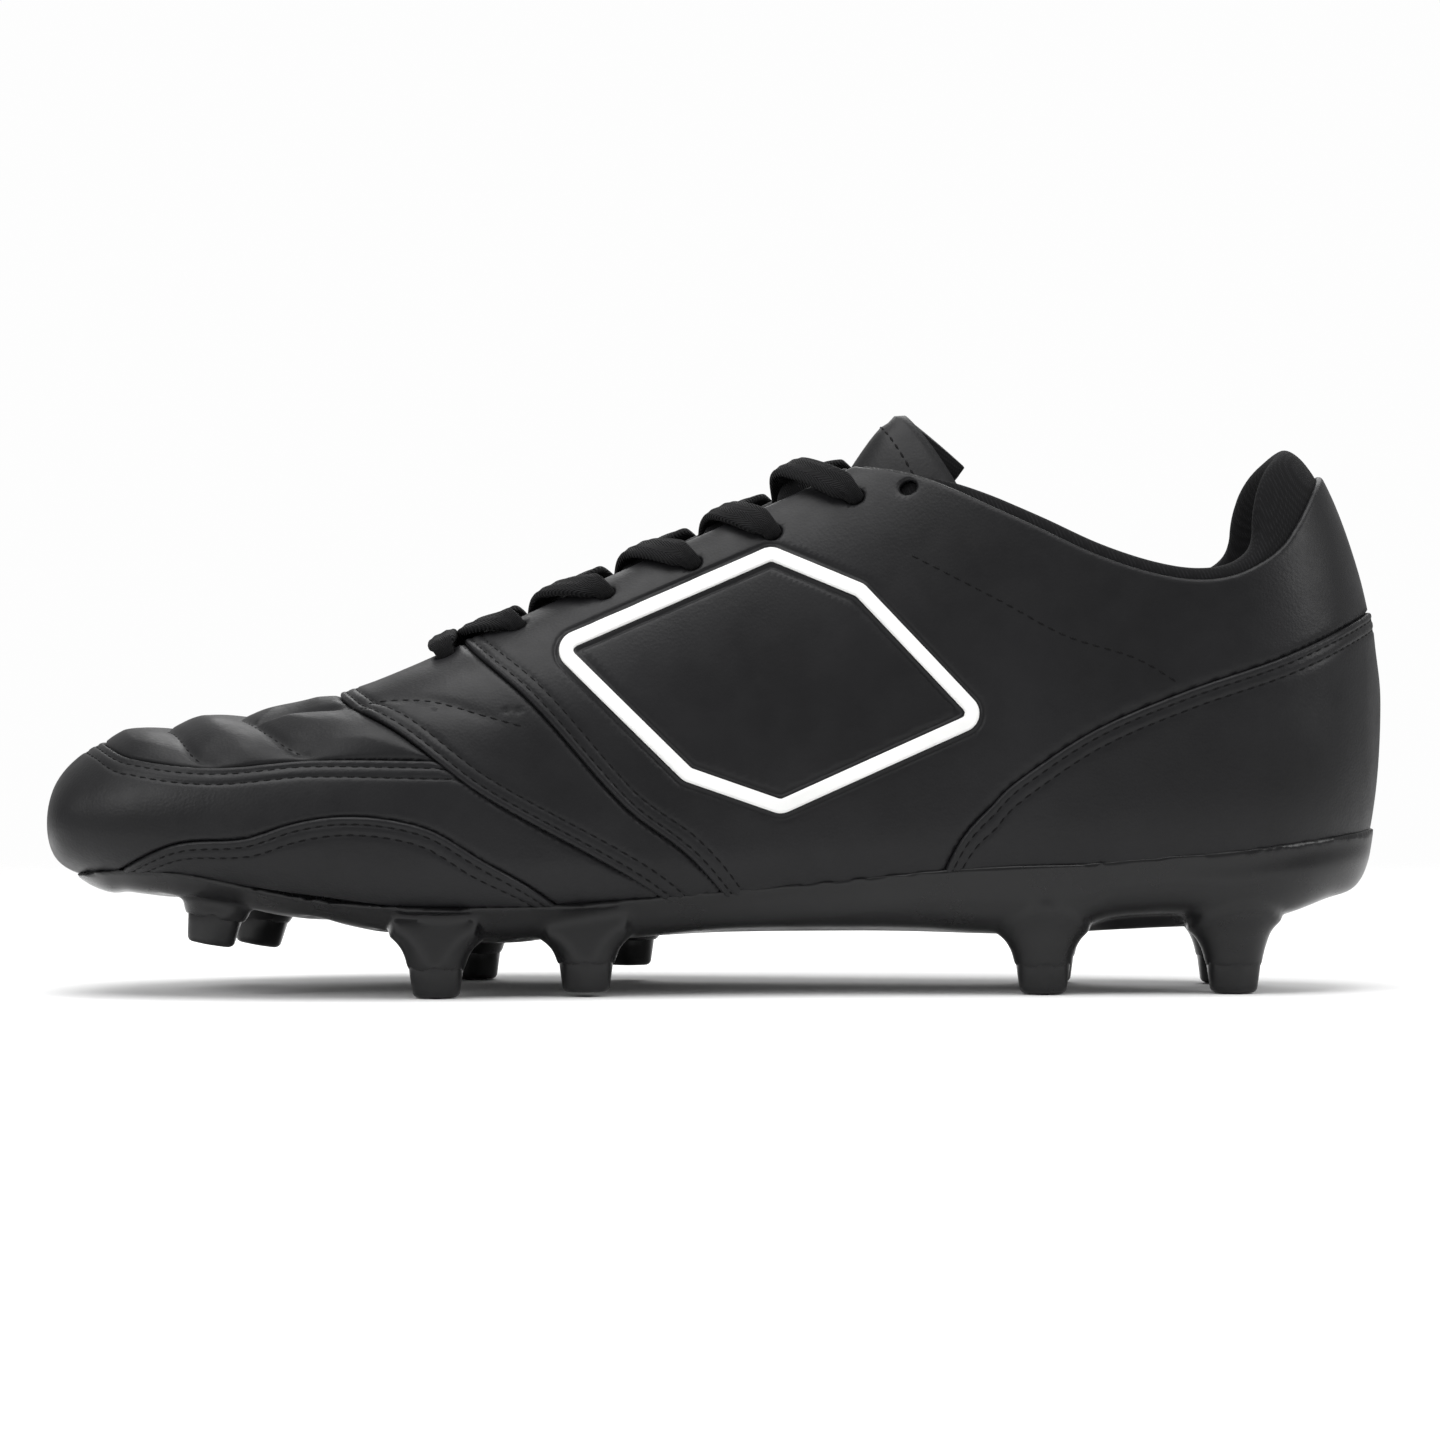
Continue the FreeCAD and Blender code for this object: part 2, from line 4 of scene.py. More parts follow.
import bmesh
import bpy
import numpy as np
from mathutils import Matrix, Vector


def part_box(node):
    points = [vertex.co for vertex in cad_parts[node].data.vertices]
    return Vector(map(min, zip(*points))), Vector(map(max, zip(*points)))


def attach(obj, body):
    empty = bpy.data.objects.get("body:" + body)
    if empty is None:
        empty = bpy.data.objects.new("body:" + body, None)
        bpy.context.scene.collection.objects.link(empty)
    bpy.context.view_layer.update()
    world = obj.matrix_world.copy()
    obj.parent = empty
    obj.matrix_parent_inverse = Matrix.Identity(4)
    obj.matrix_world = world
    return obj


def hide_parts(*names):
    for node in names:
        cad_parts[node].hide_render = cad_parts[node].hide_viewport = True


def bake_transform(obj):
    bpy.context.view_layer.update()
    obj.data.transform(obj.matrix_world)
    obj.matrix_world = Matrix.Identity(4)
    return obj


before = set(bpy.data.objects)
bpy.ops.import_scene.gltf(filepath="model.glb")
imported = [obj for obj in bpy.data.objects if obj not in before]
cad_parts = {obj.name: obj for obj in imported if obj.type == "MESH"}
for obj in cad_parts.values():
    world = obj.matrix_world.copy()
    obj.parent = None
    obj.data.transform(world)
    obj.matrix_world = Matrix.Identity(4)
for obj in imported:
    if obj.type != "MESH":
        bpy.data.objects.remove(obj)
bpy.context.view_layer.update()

MM = 0.001
random.seed(7)

# ===== The upper's form: the same guide curves as the CAD model =====
HALF_LENGTH = 143.4
MIDDLE = 1.0
# x, top, bottom, medial side, lateral side, height of the widest point, place of the ridge
STATIONS = np.array([
    (-142.4, 35.5, 35.5, -10.0, -10.0, 35.5, -10.0),
    (-140.0, 45.5, 27.6, -28.5, 9.0, 36.5, -10.5),
    (-130.0, 53.0, 23.6, -38.0, 23.0, 36.5, -11.0),
    (-112.0, 57.0, 21.8, -44.5, 34.5, 36.0, -12.0),
    (-84.0, 61.5, 17.3, -49.0, 44.5, 33.5, -12.0),
    (-56.0, 73.5, 13.8, -48.5, 49.0, 31.0, -11.0),
    (-28.0, 87.0, 14.2, -42.5, 49.0, 31.0, -9.0),
    (0.0, 100.5, 15.0, -37.0, 46.0, 33.0, -6.5),
    (30.0, 115.0, 15.2, -34.5, 41.5, 37.0, -3.5),
    (60.0, 132.0, 15.0, -34.0, 37.5, 41.0, -1.5),
    (90.0, 139.0, 15.8, -34.0, 35.5, 45.0, 0.0),
    (115.0, 128.0, 17.0, -32.0, 33.0, 49.0, 0.0),
    (130.0, 113.0, 21.0, -25.5, 25.5, 53.0, 0.0),
    (139.0, 91.5, 25.0, -15.0, 15.0, 57.0, 0.0),
    (143.0, 74.0, 40.0, -6.5, 6.5, 60.0, 0.0),
    (144.4, 62.0, 62.0, 0.0, 0.0, 62.0, 0.0),
])

# Lines on the side of the shoe, as (x, z).
PLATE_EDGE = [(-150, 19), (-139, 24.2), (-130, 26.4), (-113, 26.4), (-104, 24.9), (-91, 22), (-78, 20),
              (-63, 19.4), (-38, 19.4), (-15, 20.8), (20, 23.5), (54, 27), (91, 28.6), (142, 34.7), (150, 36)]
COLLAR_LINE = [(22, 117), (30, 112.8), (38.5, 111.3), (48, 108.3), (58, 103.7), (68, 99), (80, 93.2),
               (91.5, 89.3), (101, 87.7), (109, 88.5), (116, 91.6), (121, 95.5), (125, 101), (129, 107.5),
               (133, 113), (150, 120)]
SADDLE_FRONT = [(-62, 84), (-54, 75.3), (-38, 61.6), (-18.6, 40), (-4.7, 29), (8, 14)]
VAMP_REAR = [(-90, 70), (-79, 62.5), (-65, 55), (-48, 42.5), (-17.5, 25.2), (0, 13)]
VAMP_EDGE = [(-150, 58), (-130, 52.7), (-122, 49.7), (-104, 47.9), (-83, 49.5), (-50, 49.4)]
MUDGUARD_EDGE = [(-127, 25), (-112, 32), (-97, 33.4), (-87, 36.5), (-77.6, 38), (-67.6, 37.5), (-58, 35),
                 (-48, 29), (-38, 23), (-28, 15)]
FOXING_EDGE = [(46, 10), (49, 27.5), (59, 41), (65.6, 46.7), (80, 56), (98.8, 64), (120.8, 71.6),
               (141, 81), (150, 86)]
EYELETS = [(-57.0, 11.0), (-41.8, 13.0), (-23.1, 14.5), (-4.7, 15.5), (12.3, 16.0), (29.8, 16.5),
           (41.0, 19.0)]
LACED_ROWS = 6


def smooth(places, values, at):
    """Cubic through the values, with each slope taken from the neighbours, and straight beyond the ends."""
    places, values, at = np.asarray(places, float), np.asarray(values, float), np.asarray(at, float)
    ahead = np.minimum(np.arange(len(places)) + 1, len(places) - 1)
    behind = np.maximum(np.arange(len(places)) - 1, 0)
    slopes = (values[ahead] - values[behind]) / (places[ahead] - places[behind])
    i = np.clip(np.searchsorted(places, at) - 1, 0, len(places) - 2)
    span = places[i + 1] - places[i]
    s = unit((at - places[i]) / span)
    inside = ((2 * s**3 - 3 * s**2 + 1) * values[i] + (s**3 - 2 * s**2 + s) * span * slopes[i]
              + (3 * s**2 - 2 * s**3) * values[i + 1] + (s**3 - s**2) * span * slopes[i + 1])
    beyond = np.where(at < places[0], (at - places[0]) * slopes[0], 0)
    return inside + beyond + np.where(at > places[-1], (at - places[-1]) * slopes[-1], 0)


def unit(values):
    """The values held between 0 and 1."""
    return np.clip(values, 0, 1)


def ease(s):
    """Turns a straight ramp from 0 to 1 into one with level ends."""
    return s * s * (3 - 2 * s)


def hump(d, width, power=2):
    """A bell-shaped rise of height 1 where d is 0; a higher power flattens its top."""
    return np.exp(-(d / width) ** power)


def normalized(vectors):
    """The vectors at length 1."""
    return vectors / np.linalg.norm(vectors, axis=-1, keepdims=True)


def share_at(x):
    """Where x lies from toe tip, 0, to heel, 1; the shares crowd towards both ends."""
    return np.arccos(np.clip((MIDDLE - np.asarray(x, float)) / HALF_LENGTH, -1, 1)) / math.pi


STATION_SHARES = share_at(STATIONS[:, 0])


def station(share):
    return [smooth(STATION_SHARES, STATIONS[:, k], share) for k in range(1, 7)]


def ridge_at(x):
    return smooth(STATION_SHARES, STATIONS[:, 6], share_at(x))


ABOVE_SQUARENESS = 0.15     # how square the section is above its widest point, and below it
BELOW_SQUARENESS = 0.3
OFFSET_FADE = 0.8           # how an offset dies out towards the two ends


def fullness(share):
    """1 along most of the shoe; it falls to 0 at both ends, where the section is round."""
    return np.minimum(1.0, 1.6 * np.sin(math.pi * unit(share)))


def form(share, turn, offset=0.0):
    """Points of the form: turn is 0 at the lateral side and a quarter of a circle at the ridge."""
    top, bottom, medial, lateral, widest, ridge = station(share)
    out = offset * np.sin(math.pi * unit(share)) ** OFFSET_FADE
    high_power, low_power = 1 - ABOVE_SQUARENESS * fullness(share), 1 - BELOW_SQUARENESS * fullness(share)
    c, s = np.cos(turn), np.sin(turn)
    side = np.where(c >= 0, 1.0, -1.0)
    reach = np.where(c >= 0, lateral - ridge, ridge - medial) + out
    y_high = ridge + side * reach * np.abs(c) ** high_power
    z_high = widest + (top + out - widest) * s
    y_low = (medial + lateral) / 2 + side * ((lateral - medial) / 2 + out) * np.abs(c) ** low_power
    z_low = widest - (widest - bottom + out) * np.abs(s) ** low_power
    x = MIDDLE - (HALF_LENGTH + offset) * np.cos(math.pi * share)
    return np.stack([x, np.where(s >= 0, y_high, y_low), np.where(s >= 0, z_high, z_low)], axis=-1)


STEP = 1e-4


def tangents(share, turn):
    along = (form(share + STEP, turn) - form(share - STEP, turn)) / (2 * STEP)
    round_it = (form(share, turn + STEP) - form(share, turn - STEP)) / (2 * STEP)
    return along, round_it


def gradient(field, share, turn):
    """Value of a field, its slope per millimetre, and the step in share and turn that climbs it."""
    value = field(share, turn)
    fs = (field(share + STEP, turn) - field(share - STEP, turn)) / (2 * STEP)
    ft = (field(share, turn + STEP) - field(share, turn - STEP)) / (2 * STEP)
    along, round_it = tangents(share, turn)
    e, f, g = [np.sum(a * b, axis=-1) for a, b in ((along, along), (along, round_it), (round_it, round_it))]
    det = np.maximum(e * g - f * f, 1e-9)
    a, b = (g * fs - f * ft) / det, (e * ft - f * fs) / det
    steep = np.sqrt(np.maximum(fs * a + ft * b, 1e-9))
    return value, steep, a / steep, b / steep


def distance(field, share, turn):
    value, steep, _, _ = gradient(field, share, turn)
    return value / np.maximum(steep, 0.15)


# Fields: positive inside a region, zero on its edge, roughly in millimetres.
def below(line, drop=0.0):
    xs, zs = zip(*line)

    def field(share, turn):
        p = form(share, turn)
        return smooth(xs, zs, p[..., 0]) - drop - p[..., 2]
    return field


def above(line, drop=0.0):
    inner = below(line, drop)
    return lambda share, turn: -inner(share, turn)


THROAT_FRONT = -60.0
THROAT_REAR = 62.0
THROAT_FLOOR = 60.0      # height below which nothing belongs to the throat


def edge_gap(x):
    """Half the gap between the eyestays: narrow at the toe end."""
    return 5.5 + 4.0 * (x - THROAT_FRONT) / 100.0


def outside_throat(share, turn):
    """Distance outside the gap between the eyestays, which has a round toe end."""
    p = form(share, turn)
    across = p[..., 1] - ridge_at(p[..., 0])
    gap = edge_gap(p[..., 0])
    before = np.minimum(p[..., 0] - THROAT_FRONT - 5.0, 0.0)
    round_end = np.hypot(before, across) - gap
    return np.where((p[..., 2] > THROAT_FLOOR) & (p[..., 0] < THROAT_REAR), round_end, 60.0)


def halve(low, high, comes_later, steps=40):
    """Halves the range from low to high over and over, upwards where comes_later holds in the middle."""
    for _ in range(steps):
        middle = (low + high) / 2
        later = comes_later(middle)
        low, high = np.where(later, middle, low), np.where(later, high, middle)
    return low, high


def on_form(x, from_ridge):
    """Share and turn of the points at x and at a distance across the shoe from the ridge."""
    x, from_ridge = np.broadcast_arrays(np.asarray(x, float), np.asarray(from_ridge, float))
    share = share_at(x)
    low = np.where(from_ridge > 0, 0.0, math.pi / 2)
    ridge = ridge_at(x)
    low, high = halve(low, low + math.pi / 2, lambda turn: form(share, turn)[..., 1] - ridge > from_ridge)
    return share, (low + high) / 2


def at_height(x, z, side, offset=0.0):
    """Share and turn of the points at x and z on one side."""
    share = share_at(x)

    def turn_at(climb):
        return climb if side > 0 else math.pi - climb

    low, _ = halve(np.zeros_like(share), np.full_like(share, math.pi / 2),
                   lambda climb: form(share, turn_at(climb), offset)[..., 2] < z)
    return share, turn_at(low)


# ===== Pieces =====
def tube_faces(rings, around):
    """Faces between rings of points that follow one another; the ends stay open."""
    faces = []
    for i in range(rings - 1):
        for k in range(around):
            a, b = i * around + k, i * around + (k + 1) % around
            faces.append((a, b, b + around, a + around))
    return faces


def end_faces(rings, around):
    """The two faces that close a tube's ends."""
    return [tuple(range(around))[::-1], tuple(range((rings - 1) * around, rings * around))]


def new_piece(name, vertices, faces, material, body="upper", uvs=None):
    mesh = bpy.data.meshes.new(name)
    mesh.from_pydata((np.asarray(vertices) * MM).tolist(), [], [list(map(int, f)) for f in faces])
    mesh.validate()
    mesh.polygons.foreach_set("use_smooth", [True] * len(mesh.polygons))
    if uvs is not None:
        layer = mesh.uv_layers.new(name="UVMap")
        loops = np.empty(len(mesh.loops), dtype=int)
        mesh.loops.foreach_get("vertex_index", loops)
        layer.data.foreach_set("uv", np.asarray(uvs)[loops].ravel())
    mesh.materials.append(material)
    piece = bpy.data.objects.new(name, mesh)
    bpy.context.scene.collection.objects.link(piece)
    if body:
        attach(piece, body)
    return piece


def share_turn_grid(shares, turns):
    """A bmesh whose vertices hold share and turn in y and z; cuts keep them there."""
    bm = bmesh.new()
    rows = [[bm.verts.new((0, s, t)) for t in turns] for s in shares]
    for r0, r1 in zip(rows, rows[1:]):
        for a, b, c, d in zip(r0, r0[1:], r1[1:], r1):
            bm.faces.new((a, b, c, d))
    return bm


def places(bm):
    co = np.array([v.co for v in bm.verts], dtype=float)
    return co[:, 1], co[:, 2]


def cut(bm, field, level=0.0, clear=False, measure=distance):
    """Cuts the grid where the distance to a field's edge is level. Returns the cut edges."""
    if not bm.verts:
        return []
    share, turn = places(bm)
    values = measure(field, share, turn) - level
    for v, value in zip(bm.verts, values):
        v.co.x = value
    result = bmesh.ops.bisect_plane(bm, geom=bm.verts[:] + bm.edges[:] + bm.faces[:], dist=1e-5,
                                    plane_co=(0, 0, 0), plane_no=(1, 0, 0), clear_inner=clear)
    return [e for e in result["geom_cut"] if isinstance(e, bmesh.types.BMEdge)]


def cut_at(bm, field, level=0.0, clear=False):
    """As cut, for a field that already measures a distance."""
    return cut(bm, field, level, clear, measure=lambda own, share, turn: own(share, turn))


def chains(edges):
    """Joins edges end to end into runs of (share, turn) points."""
    neighbours = {}
    for e in edges:
        a, b = e.verts
        neighbours.setdefault(a, []).append(b)
        neighbours.setdefault(b, []).append(a)
    runs, used = [], set()
    ends = [v for v, n in neighbours.items() if len(n) == 1] + list(neighbours)
    for start in ends:
        if start in used:
            continue
        run, here = [start], start
        used.add(start)
        while True:
            onward = [v for v in neighbours[here] if v not in used]
            if not onward:
                break
            here = onward[0]
            used.add(here)
            run.append(here)
        if len(run) > 3:
            if start in neighbours[run[-1]] and len(run) > 8:
                run.append(start)
            runs.append(np.array([(v.co.y, v.co.z) for v in run]))
    return runs


OVERLAP = 3.0


def round_edge(d, radius, depth):
    """Height lost near an edge: depth at the edge, none further in than radius."""
    s = unit(d / radius)
    return depth * (1 - np.sqrt(unit(1 - (1 - s) ** 2)))


def dip(d, at, half_width, depth):
    return depth * hump(d - at, half_width)


# ===== Materials =====
class Nodes:
    """A new material and short ways to add nodes to it."""

    def __init__(self, name):
        self.material = bpy.data.materials.new(name)
        self.material.use_nodes = True
        self.tree = self.material.node_tree
        self.shader = self.tree.nodes["Principled BSDF"]
        self.where = self.add("ShaderNodeTexCoord").outputs["Object"]

    def put(self, socket, value):
        if isinstance(value, bpy.types.NodeSocket):
            self.tree.links.new(value, socket)
        else:
            socket.default_value = value

    def add(self, kind, **inputs):
        node = self.tree.nodes.new(kind)
        for key, value in inputs.items():
            self.put(node.inputs[key.replace("_", " ")], value)
        return node

    def noise(self, scale, detail, roughness=0.5):
        return self.add("ShaderNodeTexNoise", Vector=self.where, Scale=scale, Detail=detail,
                        Roughness=roughness).outputs["Fac"]

    def calc(self, operation, *values):
        node = self.tree.nodes.new("ShaderNodeMath")
        node.operation = operation
        for socket, value in zip(node.inputs, values):
            self.put(socket, value)
        return node.outputs["Value"]

    def ramp(self, source, low, high, low_value, high_value):
        """A colour ramp between two places; a single number stands for a grey."""
        node = self.add("ShaderNodeValToRGB", Fac=source)
        for element, place, value in zip(node.color_ramp.elements, (low, high), (low_value, high_value)):
            element.position = place
            element.color = (*value, 1) if isinstance(value, tuple) else (value, value, value, 1)
        return node.outputs["Color"]

    def bump(self, height, strength, distance, below=None):
        node = self.add("ShaderNodeBump", Strength=strength, Distance=distance, Height=height)
        if below:
            self.put(node.inputs["Normal"], below)
        return node.outputs["Normal"]

    def finish(self, **inputs):
        for key, value in inputs.items():
            self.put(self.shader.inputs[key.replace("_", " ")], value)
        return self.material


def leather(name, base, light, roughness=0.42):
    """Smooth coated leather: fine pebble grain, pores, faint creases and uneven sheen."""
    m = Nodes(name)
    grain = m.add("ShaderNodeTexVoronoi", Vector=m.where, Scale=1500.0)
    grain.feature = "F1"
    fine, crease, cloud = m.noise(2600.0, 3.0), m.noise(120.0, 6.0, 0.62), m.noise(28.0, 4.0)
    folds = m.bump(crease, 0.22, 0.0004)
    pebbles = m.bump(grain.outputs["Distance"], 0.22, 0.00012, folds)
    return m.finish(Base_Color=m.ramp(cloud, 0.3, 0.72, base, light),
                    Roughness=m.ramp(crease, 0.3, 0.75, roughness - 0.07, roughness + 0.09),
                    Normal=m.bump(fine, 0.12, 0.00006, pebbles), Specular_IOR_Level=0.2)


def textile(name, base, light, pitch, depth=0.00018, roughness=0.85):
    """A knitted or woven cloth: two crossed sets of ribs and a little fuzz."""
    m = Nodes(name)
    turned = m.add("ShaderNodeMapping", Vector=m.where, Rotation=(0.5, 0.35, 0.785))
    ribs = []
    for direction in ("X", "Y"):
        wave = m.add("ShaderNodeTexWave", Vector=turned.outputs["Vector"], Scale=0.314 / (pitch * MM),
                     Distortion=0.6)
        wave.bands_direction = direction
        ribs.append(wave.outputs["Fac"])
    weave, fuzz = m.calc("MULTIPLY", *ribs), m.noise(900.0, 4.0)
    return m.finish(Base_Color=m.ramp(m.calc("MULTIPLY", weave, fuzz), 0.05, 0.6, base, light),
                    Normal=m.bump(fuzz, 0.35, 0.0001, m.bump(weave, 0.6, depth)), Roughness=roughness,
                    Specular_IOR_Level=0.12, Sheen_Weight=0.02, Sheen_Roughness=0.4)


def moulded(name, base, light, roughness, grain=700.0, depth=0.00004):
    """Injection-moulded plastic: slight orange peel, and scuffs where the noise is high."""
    m = Nodes(name)
    peel, cloud = m.noise(grain, 2.0), m.noise(45.0, 5.0, 0.6)
    return m.finish(Base_Color=m.ramp(cloud, 0.35, 0.8, base, light),
                    Roughness=m.ramp(cloud, 0.3, 0.75, roughness - 0.05, roughness + 0.12),
                    Normal=m.bump(peel, 0.2, depth), Specular_IOR_Level=0.3)


def woven_lace(name):
    """Flat braid: a chevron of yarns that follows the lace's own length and width."""
    m = Nodes(name)
    uv = m.add("ShaderNodeSeparateXYZ", Vector=m.add("ShaderNodeTexCoord").outputs["UV"])
    along = m.calc("MULTIPLY", uv.outputs["X"], 900.0)
    across = m.calc("MULTIPLY", m.calc("PINGPONG", uv.outputs["Y"], 0.25), 14.0)
    yarn = m.calc("SINE", m.calc("MULTIPLY", m.calc("ADD", along, across), 2 * math.pi))
    return m.finish(Base_Color=m.ramp(yarn, 0.0, 1.0, (0.0025, 0.0025, 0.003), (0.009, 0.009, 0.0098)),
                    Normal=m.bump(yarn, 0.8, 0.00022), Roughness=0.72, Specular_IOR_Level=0.12,
                    Sheen_Weight=0.02)


LEATHER = leather("black_leather_smooth", (0.006, 0.006, 0.0066), (0.0105, 0.0105, 0.0115))
SOFT_LEATHER = leather("black_leather_soft", (0.0055, 0.0055, 0.006), (0.0095, 0.0095, 0.0105), 0.46)
LINING = textile("black_knit_lining", (0.004, 0.004, 0.0044), (0.011, 0.011, 0.012), 0.55, 0.00008)
SOCK_CLOTH = textile("insole_cloth", (0.012, 0.012, 0.013), (0.045, 0.045, 0.048), 1.1)
THREAD = textile("black_thread", (0.002, 0.002, 0.0022), (0.009, 0.009, 0.0095), 0.35, 0.00005, 0.7)
PLASTIC = moulded("black_plate_plastic", (0.004, 0.004, 0.0045), (0.0085, 0.0085, 0.009), 0.26)
STUD_PLASTIC = moulded("black_stud_plastic", (0.0045, 0.0045, 0.005), (0.01, 0.01, 0.0105), 0.3)
AGLET_PLASTIC = moulded("aglet_film", (0.01, 0.01, 0.011), (0.02, 0.02, 0.02), 0.2)
WHITE_FILM = moulded("white_raised_film", (0.74, 0.74, 0.73), (0.86, 0.86, 0.85), 0.42, 900.0, 0.00005)
LACE_BRAID = woven_lace("black_flat_braid")


# ===== Stitching =====
STITCH_LENGTH = 1.9
STITCH_PITCH = 2.5
STITCH_RADIUS = 0.3
STITCH_EMBED = 0.12
STITCH_LEAN = 0.05
LOOK_AHEAD = 0.3


def stitch_shape():
    """One stitch along X: a slim bead with flattened ends."""
    rings, around = 5, 6
    vertices = []
    for i in range(rings):
        s = i / (rings - 1)
        radius = STITCH_RADIUS * (0.35 + 0.65 * math.sin(math.pi * s) ** 0.5)
        for k in range(around):
            a = 2 * math.pi * k / around
            vertices.append(((s - 0.5) * STITCH_LENGTH, radius * math.cos(a), radius * math.sin(a)))
    return np.array(vertices), tube_faces(rings, around) + end_faces(rings, around)


def run_length(points):
    """Length of a line of points up to each of them."""
    return np.concatenate([[0], np.cumsum(np.linalg.norm(np.diff(points, axis=0), axis=1))])


def read_at(at, known, rows):
    """The rows that belong to the known places, read in between at others."""
    return np.stack([np.interp(at, known, column) for column in rows.T], axis=1)


def resample(points, outward_at, pitch):
    """Spots every pitch along a line, with the way onward and the way out at each."""
    length = run_length(points)
    at = (np.arange(max(2, int(length[-1] / pitch) + 1)) + 0.5) * pitch
    at = at[at < length[-1]]
    spots = read_at(at, length, points)
    onward = read_at(np.minimum(at + LOOK_AHEAD, length[-1]), length, points) - spots
    return spots, onward, read_at(at, length, outward_at)


def stitches(name, lines, body="upper"):
    """Rows of stitches along lines, each a pair of points and outward normals."""
    shape, shape_faces = stitch_shape()
    vertices, faces = [], []
    for points, outward_at in lines:
        if len(points) < 4:
            continue
        for spot, forward, up in zip(*resample(points, outward_at, STITCH_PITCH)):
            if np.linalg.norm(forward) < 1e-6:
                continue
            x_axis = normalized(forward)
            y_axis = np.cross(up, x_axis)
            y_axis /= max(np.linalg.norm(y_axis), 1e-9)
            z_axis = np.cross(x_axis, y_axis)
            lean = random.uniform(-STITCH_LEAN, STITCH_LEAN)
            x_axis, y_axis = x_axis + lean * y_axis, y_axis - lean * x_axis
            start = len(vertices)
            basis = np.stack([x_axis, y_axis, z_axis])
            vertices.extend(shape @ basis + spot - z_axis * STITCH_EMBED)
            faces.extend([tuple(i + start for i in face) for face in shape_faces])
    if vertices:
        new_piece(name, vertices, faces, THREAD, body)


# ===== Leather panels =====
LEATHER_THICKNESS = 1.5
EDGE_STEP = 0.6
STITCH_ROWS = (1.6, 3.8)
STITCH_DIP = 0.3
EDGE_FADE = 7.0
HOLE_RADIUS = 1.9


def outward(share, turn):
    """Unit normal of the form, pointing out."""
    along, round_it = tangents(share, turn)
    n = np.cross(along, round_it)
    n /= np.maximum(np.linalg.norm(n, axis=-1, keepdims=True), 1e-9)
    p = form(share, turn)
    centre = np.stack([p[..., 0] * 0.93, ridge_at(p[..., 0]) * 0.6, np.full(p.shape[:-1], 45.0)], axis=-1)
    facing = np.sign(np.sum(n * (p - centre), axis=-1, keepdims=True))
    return n * np.where(facing == 0, 1, facing)


def near_holes(share, turn):
    """Distance from the edge of the nearest lace hole."""
    p = form(share, turn)
    best = np.full(p.shape[:-1], 99.0)
    for side in (-1, 1):
        for x, reach in EYELETS:
            centre = form(*on_form(x, side * reach))
            best = np.minimum(best, np.linalg.norm(p - centre, axis=-1) - HOLE_RADIUS)
    return best


TOE_END, HEEL_END = 0.0006, 0.9994     # shares just inside the form's two points
ALL_ROUND = (-math.pi / 2, 1.5 * math.pi)


def between(front_x, rear_x):
    """The shares between two places along the shoe."""
    return float(share_at(front_x)), float(share_at(rear_x))


def both_sides(past_ridge, past_widest):
    """Each side's name and its range of turns, which starts short of the ridge by one angle and ends below
    the widest point by the other."""
    return (("medial", (math.pi / 2 + past_ridge, math.pi + past_widest)),
            ("lateral", (-past_widest, math.pi / 2 - past_ridge)))


def patch(share_range, turn_range, cell):
    """Evenly spaced shares and turns over part of the form, with cells of about that size."""
    s = np.linspace(*share_range, 60)
    middle = np.full(60, sum(turn_range) / 2)
    length = np.linalg.norm(np.diff(form(s, middle), axis=0), axis=1).sum()
    t = np.linspace(*turn_range, 60)
    across = max(np.linalg.norm(np.diff(form(np.full(60, q), t), axis=0), axis=1).sum()
                 for q in np.linspace(*share_range, 7))
    return (np.linspace(*share_range, max(8, int(length / cell))),
            np.linspace(*turn_range, max(8, int(across / cell))))


def welded_places(bm):
    bmesh.ops.remove_doubles(bm, verts=bm.verts[:], dist=1e-7)
    bm.verts.index_update()
    return places(bm)


def sheet_faces(bm, flip=False):
    """Faces of a sheet over a cut grid: its top, its underside as a second set of vertices, and the walls
    along its open edges."""
    count = len(bm.verts)
    top = [[v.index for v in f.verts][::-1 if flip else 1] for f in bm.faces]
    walls = []
    for e in bm.edges:
        if len(e.link_faces) == 1:
            loop = e.link_loops[0]
            i, j = loop.vert.index, loop.link_loop_next.vert.index
            if flip:
                i, j = j, i
            walls.append([j, i, i + count, j + count])
    return top + [[i + count for i in f[::-1]] for f in top] + walls


def closed_sheet(bm, height, thickness):
    """Turns a cut grid into a closed sheet: its top follows height, its bottom lies thickness below."""
    share, turn = welded_places(bm)
    n = outward(share, turn)
    base = form(share, turn)
    h = height(share, turn)
    top = base + n * h[:, None]
    bottom = base + n * (np.minimum(h, 0.2) - thickness)[:, None]
    probe = [v.index for v in list(bm.faces)[len(bm.faces) // 2].verts]
    a, b, c = (top[i] for i in probe[:3])
    flip = np.dot(np.cross(b - a, c - b), n[probe[0]]) < 0
    return np.concatenate([top, bottom]), sheet_faces(bm, flip)


